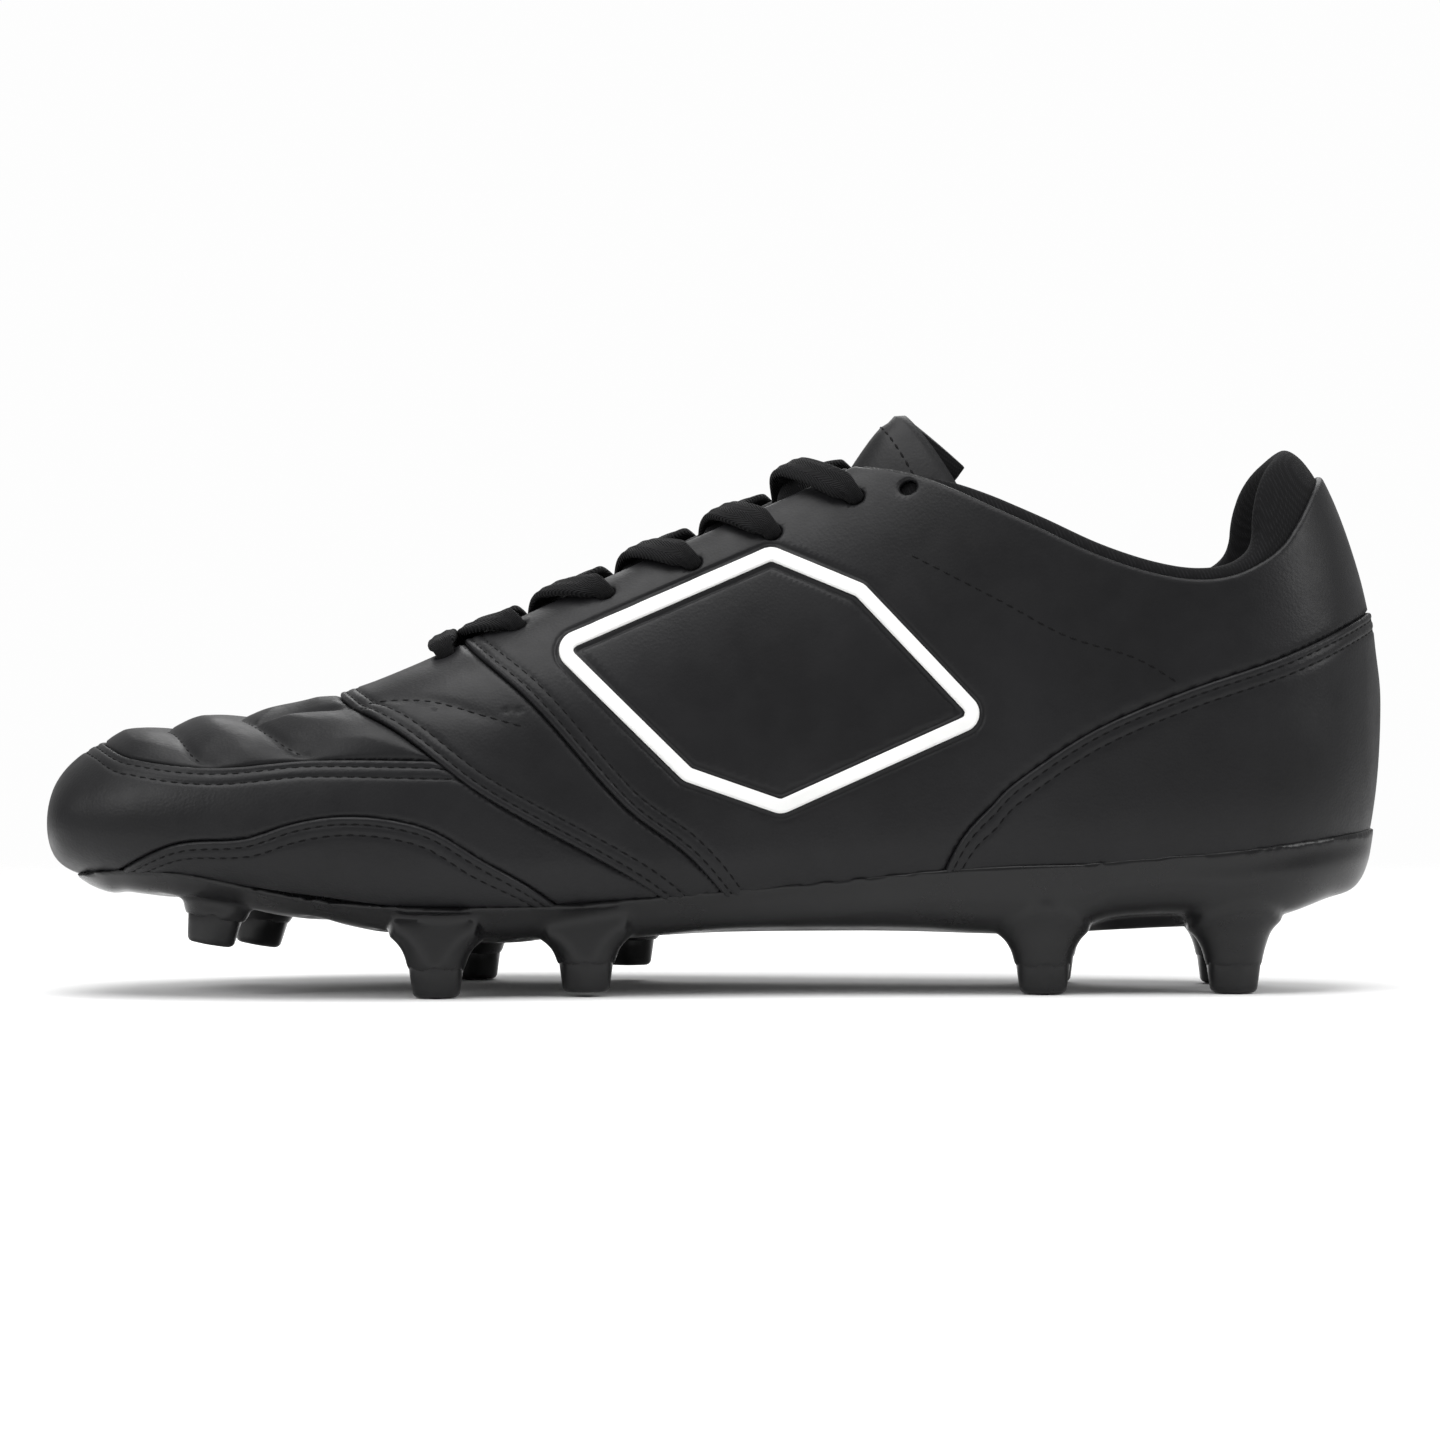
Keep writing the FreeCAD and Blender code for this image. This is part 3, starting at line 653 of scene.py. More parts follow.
def panel(name, nodes, over=(), under=(), share_range=(TOE_END, HEEL_END), turn_range=(-0.6, math.pi + 0.6),
          cell=1.0, shape=None, material=None, holes=False, marks=(), sewn=(), folded=()):
    """A leather panel. At an over edge it lies on its neighbour, with a rounded edge and rows of stitches;
    at an under edge it runs on beneath the neighbour; a folded edge is rounded, without stitches. shape adds
    quilting, marks adds cuts along a field for a fine relief, and sewn adds lines of stitches."""
    bm = share_turn_grid(*patch(share_range, turn_range, cell))
    for field in (*over, *folded):
        cut(bm, field, 0.0, clear=True)
    for field in under:
        cut(bm, field, -OVERLAP, clear=True)
    cut(bm, above_sole, 0.0, clear=True)
    if holes:
        cut_at(bm, near_holes, 0.0, clear=True)
        cut_at(bm, near_holes, 0.5)
    for field, level in marks:
        cut_at(bm, field, level)
    lines = list(sewn)
    for field in over:
        for level in (0.35, 0.9):
            cut(bm, field, level)
        for level in STITCH_ROWS:
            lines.extend(chains(cut(bm, field, level)))
            for side in (-0.5, 0.5):
                cut(bm, field, level + side)
    for field in under:
        cut(bm, field, 0.0)
    for field in folded:
        for level in (0.3, 0.7, 1.2):
            cut(bm, field, level)

    def height(share, turn):
        h = np.zeros(len(share))
        for field in over:
            d = distance(field, share, turn)
            h += EDGE_STEP * hump(np.maximum(d, 0), EDGE_FADE) - round_edge(d, 0.7, EDGE_STEP * 0.9)
            for level in STITCH_ROWS:
                h -= dip(d, level, 0.45, STITCH_DIP)
        for field in folded:
            h -= round_edge(distance(field, share, turn), 1.2, 0.7)
        for field in under:
            d = distance(field, share, turn)
            h -= 0.7 * unit(1 - d / 0.7)
        if holes:
            h -= round_edge(near_holes(share, turn), 0.9, 0.6)
        if shape:
            h += shape(share, turn)
        return h

    vertices, faces = closed_sheet(bm, height, LEATHER_THICKNESS)
    bm.free()
    piece = new_piece(name, vertices, faces, material or LEATHER)
    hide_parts(*nodes)
    rows_of_points = []
    for run in lines:
        share, turn = run[:, 0], run[:, 1]
        rows_of_points.append((form(share, turn) + outward(share, turn) * height(share, turn)[:, None],
                               outward(share, turn)))
    stitches(name + "_stitching", rows_of_points)
    return piece


def above_sole(share, turn):
    """Positive above a line a little below the plate's edge."""
    return -below(PLATE_EDGE, 4.0)(share, turn)


# Sewn channels of the toe, in plan: place along the shoe and distance from the ridge.
TOE_CHANNELS = [[(-117.5, 0), (-115.3, 9), (-109.8, 23.6), (-104.3, 29.2), (-100, 35)],
                [(-102, 0), (-97.2, 14.6), (-90.8, 25), (-84.4, 30.8), (-79, 37)],
                [(-97.2, 14.6), (-88.4, 11.5), (-79, 17), (-72, 22)]]
CHANNEL_DEPTH = 0.9
PILLOW = 1.7
# Lines sewn through the leather, as (x, z) on each side: an arc over the instep and one down the quarter.
SADDLE_ARC = [(-77, 60.3), (-69, 62), (-62, 62.3), (-56, 61.4), (-48, 59), (-41, 57)]
QUARTER_ARC = [(41.3, 92.9), (60, 83.1), (73.7, 75.7), (88.2, 71), (98, 65.3)]


def fine_line(line, count=120):
    """Evenly numbered points of the smooth line through the given ones."""
    px, py = zip(*line)
    knots = np.linspace(0, 1, len(line))
    at = np.linspace(0, 1, count)
    return smooth(knots, px, at), smooth(knots, py, at)


def toe_channel_distance(share, turn):
    """Distance in plan from the nearest sewn channel of the toe."""
    p = form(share, turn)
    x, y = p[..., 0], np.abs(p[..., 1] - ridge_at(p[..., 0]))
    best = np.full(np.shape(x), 99.0)
    for line in TOE_CHANNELS:
        for a, b in zip(*fine_line(line)):
            best = np.minimum(best, np.hypot(x - a, y - b))
    return best


def quilting(share, turn):
    """Padding that swells between the sewn channels and the panel's own seams."""
    d = toe_channel_distance(share, turn)
    seam = np.minimum(distance(above(VAMP_EDGE), share, turn), distance(below(VAMP_REAR), share, turn))
    swell = PILLOW * (1 - hump(np.maximum(d, 0), 4.5)) * unit(seam / 5.0) ** 0.6
    return swell - CHANNEL_DEPTH * hump(d, 1.1) * unit(seam / 3.0)


def channel_lines():
    """The sewn channels on both sides of the ridge, as runs of (share, turn)."""
    runs = []
    for line in TOE_CHANNELS:
        x, reach = fine_line(line)
        for side in (-1, 1):
            share, turn = on_form(x, side * np.maximum(reach, 0.01))
            z = form(share, turn)[:, 2]
            inside = (z > smooth(*zip(*VAMP_EDGE), x) + 1.5) & (z < smooth(*zip(*VAMP_REAR), x) - 1.5)
            runs.append(np.stack([share, turn], axis=1)[inside])
    return runs


def side_lines(line, sides=(-1, 1)):
    """A line drawn on the side of the shoe, as runs of (share, turn)."""
    x, z = fine_line(line)
    return [np.stack(at_height(x, z, side), axis=1) for side in sides]


def saddle_puckers(share, turn):
    """The dip along the arc sewn over the instep."""
    p = form(share, turn)
    d = np.full(np.shape(share), 99.0)
    for a, b in zip(*fine_line(SADDLE_ARC, 60)):
        d = np.minimum(d, np.hypot(p[..., 0] - a, p[..., 2] - b))
    fade = unit((-42.0 - p[..., 0]) / 14.0)
    return fade * (0.35 * hump(d - 4.0, 3.0) - 0.5 * hump(d, 1.1))


def emblem_border(share, turn):
    """A fine groove pressed into the leather along both sides of the raised outline."""
    return -0.45 * hump(emblem_field(share, turn) + 0.95, 0.4)


def make_upper():
    top_of_wrap, front_of_saddle = above(VAMP_EDGE), below(SADDLE_FRONT)
    front_of_vamp_seam = below(VAMP_REAR)
    behind_vamp_seam, behind_saddle_seam = above(VAMP_REAR), above(SADDLE_FRONT)
    below_foxing, above_foxing = below(FOXING_EDGE), above(FOXING_EDGE)
    above_guard, below_guard = above(MUDGUARD_EDGE), below(MUDGUARD_EDGE)
    front = (TOE_END, float(share_at(12.0)))
    emboss = [(emblem_field, -level) for level in (0.35, 0.65, 0.95, 1.25, 1.6)]

    vamp = panel("quilted_vamp_leather", ["quilted_vamp"], under=[top_of_wrap, front_of_vamp_seam],
                 share_range=(0.03, float(share_at(-40.0))), turn_range=(0.1, math.pi - 0.1), cell=0.75,
                 shape=quilting, material=SOFT_LEATHER, sewn=channel_lines())
    panel("toe_wrap_leather", ["toe_wrap"], over=[below(VAMP_EDGE)], under=[front_of_vamp_seam, above_guard],
          share_range=front, turn_range=ALL_ROUND, cell=0.9)
    for side, turns in both_sides(0.3, 0.7):
        panel("mudguard_leather_" + side, ["mudguard_" + side], over=[below_guard],
              under=[front_of_vamp_seam], share_range=between(-128.0, -20.0),
              turn_range=turns, cell=0.9)
    panel("vamp_saddle_leather", ["vamp_saddle"], over=[behind_vamp_seam],
          under=[front_of_saddle, outside_throat],
          share_range=between(-92.0, 14.0), cell=0.9, holes=True,
          shape=saddle_puckers, sewn=side_lines(SADDLE_ARC))
    for side, turns in both_sides(-0.12, 0.7):
        panel("quarter_leather_" + side, ["quarter_" + side],
              over=[behind_saddle_seam], folded=[outside_throat, COLLAR_FIELD],
              under=[above_foxing, SIDE_FIELDS[side]],
              share_range=(float(share_at(-66.0)), 0.985), turn_range=turns, cell=0.95, holes=True,
              shape=emblem_border, marks=emboss,
              sewn=side_lines(QUARTER_ARC, (-1 if side == "medial" else 1,)))
    panel("heel_foxing_leather", ["heel_foxing"], over=[below_foxing],
          share_range=(float(share_at(40.0)), HEEL_END), turn_range=ALL_ROUND, cell=0.9)


COLLAR_FIELD = below(COLLAR_LINE)


def side_field(side):
    """Positive on one side of the back seam and the ridge line."""
    def field(share, turn):
        p = form(share, turn)
        across = p[..., 1] - ridge_at(p[..., 0])
        return across * side + 0.05
    return field


SIDE_FIELDS = {"medial": side_field(-1), "lateral": side_field(1)}


# ===== Lining, collar and insole =====
LINING_DEPTH = 3.1
LINING_THICKNESS = 0.7


def make_lining():
    """The inside of the shoe: a thin knit, seen through the ankle opening."""
    bm = share_turn_grid(*patch((float(share_at(-125.0)), 0.99), (-1.0, math.pi + 1.0), 1.8))
    cut(bm, below(COLLAR_LINE, 4.0), 0.0, clear=True)
    cut_at(bm, lambda s, t: outside_throat(s, t) - 14.0, 0.0, clear=True)
    vertices, faces = closed_sheet(bm, lambda s, t: np.full(len(s), -LINING_DEPTH), LINING_THICKNESS)
    bm.free()
    piece = new_piece("inner_lining", vertices, faces, LINING)
    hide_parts("vamp_lining", "quarter_lining")


# Section of the padded roll, closed: from the leather's edge over the top, down inside and back behind the
# pad, as the height above the leather's edge and the depth below its outer face.
ROLL = [(-3.0, 1.7), (-1.2, 1.55), (0.4, 1.5), (1.9, 2.0), (2.9, 3.1), (3.1, 4.6), (2.3, 6.2), (0.2, 7.5),
        (-2.6, 8.3), (-6.0, 8.7), (-10.0, 8.4), (-14.0, 7.2), (-18.0, 5.4), (-21.5, 4.1), (-24.0, 3.75),
        (-24.5, 3.0), (-20.0, 2.4), (-12.0, 2.3), (-5.0, 2.1)]
ROLL_FINE = 4
ROLL_START, ROLL_FULL = 38.0, 60.0     # the roll grows from nothing to its full section between these
ROLL_BACK = 1.7                        # depth of the section's back where the roll is thinnest
HEEL_PEAK, HEEL_SPREAD = 127.5, 7.5    # the roll stands highest here, over the heel
HEEL_LIFT = 2.3


def collar_runs():
    """The leather's edge round the ankle, from one eyestay over the heel to the other."""
    bm = share_turn_grid(*patch((float(share_at(20.0)), 0.995), (0.05, math.pi - 0.05), 1.0))
    runs = chains(cut(bm, COLLAR_FIELD, 0.0))
    bm.free()
    return max(runs, key=len)


def make_collar():
    """The padded roll round the ankle, thickest over the heel and thin at the eyestays."""
    run = collar_runs()
    points = form(run[:, 0], run[:, 1])
    if points[0][1] > points[-1][1]:
        run, points = run[::-1], points[::-1]
    gaps = run_length(points)
    at = np.arange(0, gaps[-1], 1.1)
    share, turn = read_at(at, gaps, run).T
    spine = form(share, turn)
    ankle = spine[:, 0] > 34.0
    share, turn, spine = share[ankle], turn[ankle], spine[ankle]
    normal = outward(share, turn)
    _, _, a, b = gradient(COLLAR_FIELD, share, turn)
    along, round_it = tangents(share, turn)
    down = along * a[:, None] + round_it * b[:, None]
    down = normalized(down)
    full = ease(unit((spine[:, 0] - ROLL_START) / (ROLL_FULL - ROLL_START)))
    over_heel = hump(spine[:, 0] - HEEL_PEAK, HEEL_SPREAD)
    heel = unit((spine[:, 0] - 104.0) / 16.0)
    steps = np.linspace(0, len(ROLL) - 1, (len(ROLL) - 1) * ROLL_FINE + 1)
    rise = smooth(range(len(ROLL)), [p[0] for p in ROLL], steps)
    depth = smooth(range(len(ROLL)), [p[1] for p in ROLL], steps)
    rings = []
    for r, d in zip(rise, depth):
        thick = ROLL_BACK + (d - ROLL_BACK) * (0.3 + 0.7 * full) * (1 + 0.35 * heel)
        if r < 0:
            moved = march(COLLAR_FIELD, share, turn, -r * (0.25 + 0.75 * full))
            rings.append(form(*moved) - outward(*moved) * thick[:, None])
        else:
            lift_up = r * (0.35 + 0.65 * full) * (1 + HEEL_LIFT * over_heel)
            rings.append(spine - down * lift_up[:, None] - normal * thick[:, None])
    rings = np.array(rings)
    count, length = rings.shape[:2]
    faces = []
    for i in range(count):
        for k in range(length - 1):
            a0, b0 = i * length + k, (i + 1) % count * length + k
            faces.append((a0, b0, b0 + 1, a0 + 1))
    faces.append(tuple(i * length for i in range(count)))
    faces.append(tuple(i * length + length - 1 for i in range(count))[::-1])
    piece = new_piece("padded_collar", rings.reshape(-1, 3), faces, LINING)
    fix_normals(piece)
    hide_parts("collar_foam", "collar_lining")


def march(field, share, turn, reach, steps=10):
    """Moves points over the surface, up the field, each by its own distance in millimetres."""
    share, turn = np.array(share, float), np.array(turn, float)
    for _ in range(steps):
        _, _, a, b = gradient(field, share, turn)
        share, turn = share + a * reach / steps, turn + b * reach / steps
    return share, turn


# ===== Tongue: the CAD model's shape, padded =====
TONGUE_FROM, TONGUE_TO = -70.0, 35.0
TONGUE_HALF = 24.0
TONGUE_DEPTH = 7.2
TONGUE_RISE = 10.5
TONGUE_WRAP = 20.0
TONGUE_SLIDE = 1.5
TONGUE_FLICK = 3.5
TONGUE_DROOP = 0.6
SEAM_INSET = 0.07


def tongue_points(x, w, depth):
    """Points of the tongue at a distance along and across, and at a depth below its outer face."""
    narrow = 0.72 + 0.28 * (x + 70.0) / 105.0
    share, turn = on_form(x, w * narrow)
    end = np.maximum(0.0, (x - 10.0) / 25.0)
    wrap = TONGUE_WRAP * end**2 * (w / TONGUE_HALF) ** 2
    droop = TONGUE_DROOP - 0.2 * unit((x - 28.0) / 7.0)
    rise = (TONGUE_RISE + TONGUE_FLICK * end**4) * end**2 * (1 - droop * (w / TONGUE_HALF) ** 2)
    p = form(share, turn) + outward(share, turn) * (-TONGUE_DEPTH - depth)[:, None]
    return p + np.stack([TONGUE_SLIDE * end**2 + wrap, np.zeros_like(x), rise], axis=-1)


def make_tongue():
    """One closed padded form: leather outside, knit behind, and a seam sewn just inside the edge."""
    along, across = 110, 56
    u = np.linspace(0, 1, along)
    v = np.linspace(-1, 1, across)
    uu, vv = np.meshgrid(u, v, indexing="ij")
    reach = 1 - 0.15 * unit((uu - 0.8) / 0.2) ** 3
    w = (TONGUE_HALF * vv * reach).ravel()
    x = (TONGUE_FROM + (TONGUE_TO - TONGUE_FROM) * uu).ravel()
    edge = np.minimum(1 - np.abs(vv), np.minimum(1.0, (1 - uu) * 4.2)).ravel()
    full = np.sqrt(unit(1 - (1 - unit(edge / 0.22)) ** 2))
    swell = 2.8 * unit(edge / 0.4) ** 0.6 * unit((x - 24.0) / 9.0)
    seam = dip(edge, SEAM_INSET, 0.02, 0.5) * (x > 0)
    laces = np.zeros_like(x)
    for place, _ in EYELETS[:LACED_ROWS]:
        laces += 0.5 * hump(x - place + 7.0, 3.5)
    crown = 0.9 * (1 - (w / TONGUE_HALF) ** 2)
    outer = tongue_points(x, w, -crown - swell + laces + seam + (1 - full) * 2.9)
    inner = tongue_points(x, w, 5.4 - (1 - full) * 2.1)
    vertices = np.concatenate([outer, inner])
    n = along * across
    faces = []
    for i in range(along - 1):
        for k in range(across - 1):
            a = i * across + k
            faces.append((a, a + across, a + across + 1, a + 1))
            faces.append((a + n + 1, a + across + 1 + n, a + across + n, a + n))
    rim = [k for k in range(across)] + [i * across + across - 1 for i in range(1, along)]
    rim += [(along - 1) * across + k for k in range(across - 2, -1, -1)]
    rim += [i * across for i in range(along - 2, 0, -1)]
    for a, b in zip(rim, rim[1:] + rim[:1]):
        faces.append((a, b, b + n, a + n))
    piece = new_piece("padded_tongue", vertices, faces, SOFT_LEATHER, body=None)
    piece.data.materials.append(LINING)
    for polygon in piece.data.polygons:
        if all(i >= n for i in polygon.vertices):
            polygon.material_index = 1
    fix_normals(piece)
    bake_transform(piece)
    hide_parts("tongue_leather", "tongue_foam", "tongue_lining")
    # One row of stitches runs round the free end, just inside the edge.
    grid = outer.reshape(along, across, 3)
    edges = edge.reshape(along, across)
    near, far = [], []
    for i in range(int(along * 0.7), along):
        inside = np.nonzero(edges[i] > SEAM_INSET * 1.35)[0]
        if len(inside) > 4:
            near.append(grid[i, inside[0]])
            far.append(grid[i, inside[-1]])
            last = grid[i, inside]
    row = np.array(near + list(last[1:-1]) + far[::-1])
    up = np.tile(outward(*on_form(np.array([30.0]), np.array([0.0]))), (len(row), 1))
    stitches("tongue_stitching", [(row, up)], body="tongue")


def fix_normals(piece):
    bm = bmesh.new()
    bm.from_mesh(piece.data)
    bmesh.ops.recalc_face_normals(bm, faces=bm.faces[:])
    bm.to_mesh(piece.data)
    bm.free()


# ===== Lace =====
LACE_OVER = 2.3
LACE_UNDER = -4.6
CROSS_HIGH = 2.4
CROSS_LOW = -0.9
LACE_LEAVES = 0.12
LACE_ARRIVES = 0.56
TOP_ROW_LIFT = 3.2
LACE_WIDTH = 6.6
LACE_THICKNESS = 2.4
UP_THE_INSTEP = np.array([0.9, 0.0, 0.44])
TAIL_PLACES = (38.0, 45.0, 52.0, 59.0)     # where the runs of a folded end lie, and how high they reach
TAIL_TOP, TAIL_BOTTOM = 80.0, 49.0
TAIL_INSET = -7.0


def at_ridge(x, from_ridge, offset):
    share, turn = on_form(x, from_ridge)
    return form(share, turn) + outward(share, turn) * offset


def lace_half(first_side):
    """Route of one half, from the middle of the first bar to the end inside the shoe, with the direction
    in which the braid's width lies at each point."""
    x, reach = EYELETS[0]
    side = first_side
    points = [at_ridge(x, side * (edge_gap(x) + 1.0), LACE_OVER), at_ridge(x, side * reach, LACE_OVER),
              at_ridge(x, side * reach, LACE_UNDER)]
    for row in range(1, LACED_ROWS):
        before, (x, reach) = EYELETS[row - 1][0], EYELETS[row]
        leave, arrive = before + LACE_LEAVES * (x - before), before + LACE_ARRIVES * (x - before)
        points.append(at_ridge(leave, side * (edge_gap(leave) + 0.5), LACE_UNDER))
        loose = (TOP_ROW_LIFT if side > 0 else TOP_ROW_LIFT * 0.45) if row == LACED_ROWS - 1 else 0.0
        points.append(at_ridge((leave + arrive) / 2 - loose * 0.5, 0.0,
                               (CROSS_HIGH if side > 0 else CROSS_LOW) + loose))
        side = -side
        points.append(at_ridge(arrive, side * (edge_gap(arrive) + 1.0), LACE_OVER + loose * 0.3))
        points.append(at_ridge(x, side * reach, LACE_OVER))
        points.append(at_ridge(x, side * reach, LACE_UNDER))
    widths = [UP_THE_INSTEP] * len(points)
    points.append(at_ridge(x + 1.0, side * 25.0, -4.5))
    for k, along in enumerate(TAIL_PLACES):
        for z in ((TAIL_TOP, TAIL_BOTTOM) if k % 2 == 0 else (TAIL_BOTTOM, TAIL_TOP)):
            points.append(form(*at_height(along, z, side, TAIL_INSET), TAIL_INSET))
    widths += [np.array([0.0, 1.0, 0.0])] * (len(points) - len(widths))
    return points, widths


def route_line(points):
    """The smooth line that a NURBS spline through the route makes, read back from Blender."""
    data = bpy.data.curves.new("route", "CURVE")
    data.dimensions = "3D"
    data.resolution_u = 8
    spline = data.splines.new("NURBS")
    spline.points.add(len(points) - 1)
    for point, place in zip(spline.points, points):
        point.co = (*(np.asarray(place) * MM), 1.0)
    spline.order_u = 3
    spline.use_endpoint_u = True
    carrier = bpy.data.objects.new("route", data)
    mesh = bpy.data.meshes.new_from_object(carrier)
    line = np.array([v.co for v in mesh.vertices]) / MM
    bpy.data.objects.remove(carrier)
    bpy.data.meshes.remove(mesh)
    bpy.data.curves.remove(data)
    return line


def make_lace():
    medial, medial_widths = lace_half(-1)
    lateral, lateral_widths = lace_half(1)
    bar = at_ridge(EYELETS[0][0], 0.0, LACE_OVER + 0.8)
    route = np.array(medial[::-1] + [bar] + lateral)
    widths = np.array(medial_widths[::-1] + [UP_THE_INSTEP] + lateral_widths)
    line = route_line(route)
    done = run_length(line)
    at = np.arange(0, done[-1], 0.7)
    centre = read_at(at, done, line)
    planned = run_length(route)
    share_of_way = at / done[-1] * planned[-1]
    wide = read_at(share_of_way, planned, widths)
    ahead = np.gradient(centre, axis=0)
    ahead = normalized(ahead)
    wide -= ahead * np.sum(wide * ahead, axis=1, keepdims=True)
    for _ in range(3):
        wide[1:-1] = (wide[:-2] + wide[1:-1] * 2 + wide[2:]) / 4
    wide -= ahead * np.sum(wide * ahead, axis=1, keepdims=True)
    wide = normalized(wide)
    thin = np.cross(ahead, wide)
    # The braid bunches up where it goes through a hole.
    bunch = np.zeros(len(centre))
    for side in (-1, 1):
        for x, reach in EYELETS[:LACED_ROWS]:
            hole = at_ridge(x, side * reach, -1.0)
            bunch = np.maximum(bunch, hump(np.linalg.norm(centre - hole, axis=1), 3.6, 4))
    half_width = LACE_WIDTH / 2 * (1 - 0.4 * bunch)
    half_thick = LACE_THICKNESS / 2 * (1 + 0.2 * bunch)
    around = 20
    angles = np.arange(around) * 2 * math.pi / around
    across = np.sign(np.cos(angles)) * np.abs(np.cos(angles)) ** 0.75
    through = np.sign(np.sin(angles)) * np.abs(np.sin(angles)) ** 0.7
    # Two shallow channels run along each face of the braid.
    through = through * (1 - 0.10 * np.cos(across * 3 * math.pi))
    rings = (centre[:, None, :] + wide[:, None, :] * (across[None, :, None] * half_width[:, None, None])
             + thin[:, None, :] * (through[None, :, None] * half_thick[:, None, None]))
    count = len(centre)
    faces = tube_faces(count, around) + end_faces(count, around)
    uvs = np.stack([np.repeat(at * MM, around), np.tile((across + 1) / 2, count)], axis=1)
    lace = new_piece("flat_lace", rings.reshape(-1, 3), faces, LACE_BRAID, uvs=uvs)
    fix_normals(lace)
    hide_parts("lace")
    for name, tip, inner in (("medial", 0, 28), ("lateral", -1, -29)):
        make_aglet(name, centre[tip], centre[inner], wide[tip])


AGLET_LENGTH = 20.0


def make_aglet(name, tip, inner, wide):
    """A flattened plastic tube shrunk over the end of the braid, with a crimped rim."""
    axis = normalized(inner - tip)
    wide = wide - axis * np.dot(wide, axis)
    wide = normalized(wide)
    thin = np.cross(axis, wide)
    profile = [(-1.4, 0.0), (-1.4, 1.25), (-1.1, 1.6), (0.4, 1.75), (9.0, 1.8), (17.0, 1.95), (18.3, 2.3),
               (18.6, 2.35), (18.6, 2.1)]
    around = 24
    vertices = []
    for along, radius in profile:
        for k in range(around):
            a = 2 * math.pi * k / around
            stretch = 1 + 0.25 * max(0.0, along / AGLET_LENGTH)
            vertices.append(tip + axis * along + wide * radius * stretch * math.cos(a)
                            + thin * radius * 0.9 * math.sin(a))
    faces = tube_faces(len(profile), around) + end_faces(len(profile), around)[1:]
    piece = new_piece("aglet_film_" + name, vertices, faces, AGLET_PLASTIC)
    fix_normals(piece)
    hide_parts("aglet_" + name)


# ===== Sole =====
STUD_NAMES = sorted(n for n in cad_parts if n.startswith("stud_tip_"))
PLATE_WALL = 0.8
PLATE_INSIDE = -1.3
PLATE_SQUARENESS = 0.42
RIM_HEIGHT = 6.0
PLATE_FRONT = -136.5
PLATE_BASE = 3.4
POST_PROFILE = [(5.6, 5.9), (8.4, 6.4), (11.0, 7.0), (14.0, 7.4), (18.0, 8.0), (24.0, 8.6)]
POST_FLARE = 2.6
FLARE_HEIGHT = 1.7
POST_INSET = 0.25      # a post stays this far inside the plate's side wall
POST_SPREAD = 6.0      # below the wall it may stand out this far from the middle of its foot
FLOOR_GAP = 0.6        # its top stays this far below the form
TIP_PROFILE = [(0.0, 0.0), (0.0, 3.4), (0.05, 4.3), (0.3, 4.8), (0.8, 5.15), (1.6, 5.3), (4.0, 5.65),
               (6.4, 6.0), (6.9, 5.9), (7.2, 5.3), (8.0, 5.0), (8.0, 0.0)]
VOXEL = 0.7


def stud_frame(name):
    """Foot of a stud on the ground and its axis, from the CAD node."""
    low, high = (np.array(c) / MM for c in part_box(name))
    tilt = math.radians(10.0) if "toe" in name else 0.0
    axis = np.array([math.sin(tilt), 0.0, math.cos(tilt)])
    middle = (low + high) / 2
    return middle - axis * 3.45, axis


def lathe(profile, foot, axis, around, flats=0.0):
    side = np.array([axis[2], 0.0, -axis[0]])
    other = np.cross(axis, side)
    vertices = []
    for up, radius in profile:
        for k in range(around):
            a = 2 * math.pi * (k + 0.5) / around
            r = radius * (1 - flats * (0.5 + 0.5 * math.cos(6 * a)))
            vertices.append(foot + axis * up + side * r * math.cos(a) + other * r * math.sin(a))
    return vertices, tube_faces(len(profile), around)


def plate_surface(share, turn):
    """Outer face of the plate: flush with the leather at its rim, squarer and thicker lower down."""
    side, under = form(share, turn, PLATE_WALL), form(share, turn, PLATE_BASE)
    edge_z = smooth(*zip(*PLATE_EDGE), side[:, 0])
    low = ease(unit((edge_z - form(share, turn)[:, 2]) / RIM_HEIGHT))
    _, _, medial, lateral, _, _ = station(share)
    middle, half = (medial + lateral) / 2, (lateral - medial) / 2 + PLATE_WALL
    c = np.cos(turn)
    square_y = middle + np.sign(c) * half * np.abs(c) ** PLATE_SQUARENESS
    swell = unit(np.sin(math.pi * share) / 0.5)
    y = side[:, 1] + low * swell * (square_y - side[:, 1])
    z = side[:, 2] + low * (under[:, 2] - side[:, 2])
    return np.stack([side[:, 0], y, z], axis=1)


def underside(x, y, squareness, thicker):
    """Height of the form's underside at a place in plan; far up where the place is outside it."""
    _, bottom, medial, lateral, widest, _ = station(share_at(x))
    reach = np.abs(y - (medial + lateral) / 2) / np.maximum((lateral - medial) / 2, 1.0)
    c = unit(reach) ** (1 / squareness)
    s = np.sqrt(unit(1 - c * c)) ** (1 - BELOW_SQUARENESS * fullness(share_at(x)))
    return np.where(reach < 1, widest - (widest - bottom + thicker) * s, 99.0)


def wall_at(x, z, side):
    """Place across the shoe of the plate's side wall at a height."""
    share = share_at(x)
    low, high = np.full(x.shape, -math.pi / 2), np.zeros(x.shape)
    for _ in range(24):
        middle = (low + high) / 2
        point = plate_surface(share, middle if side > 0 else -math.pi - middle)
        low, high = np.where(point[:, 2] < z, middle, low), np.where(point[:, 2] < z, high, middle)
    return point[:, 1]


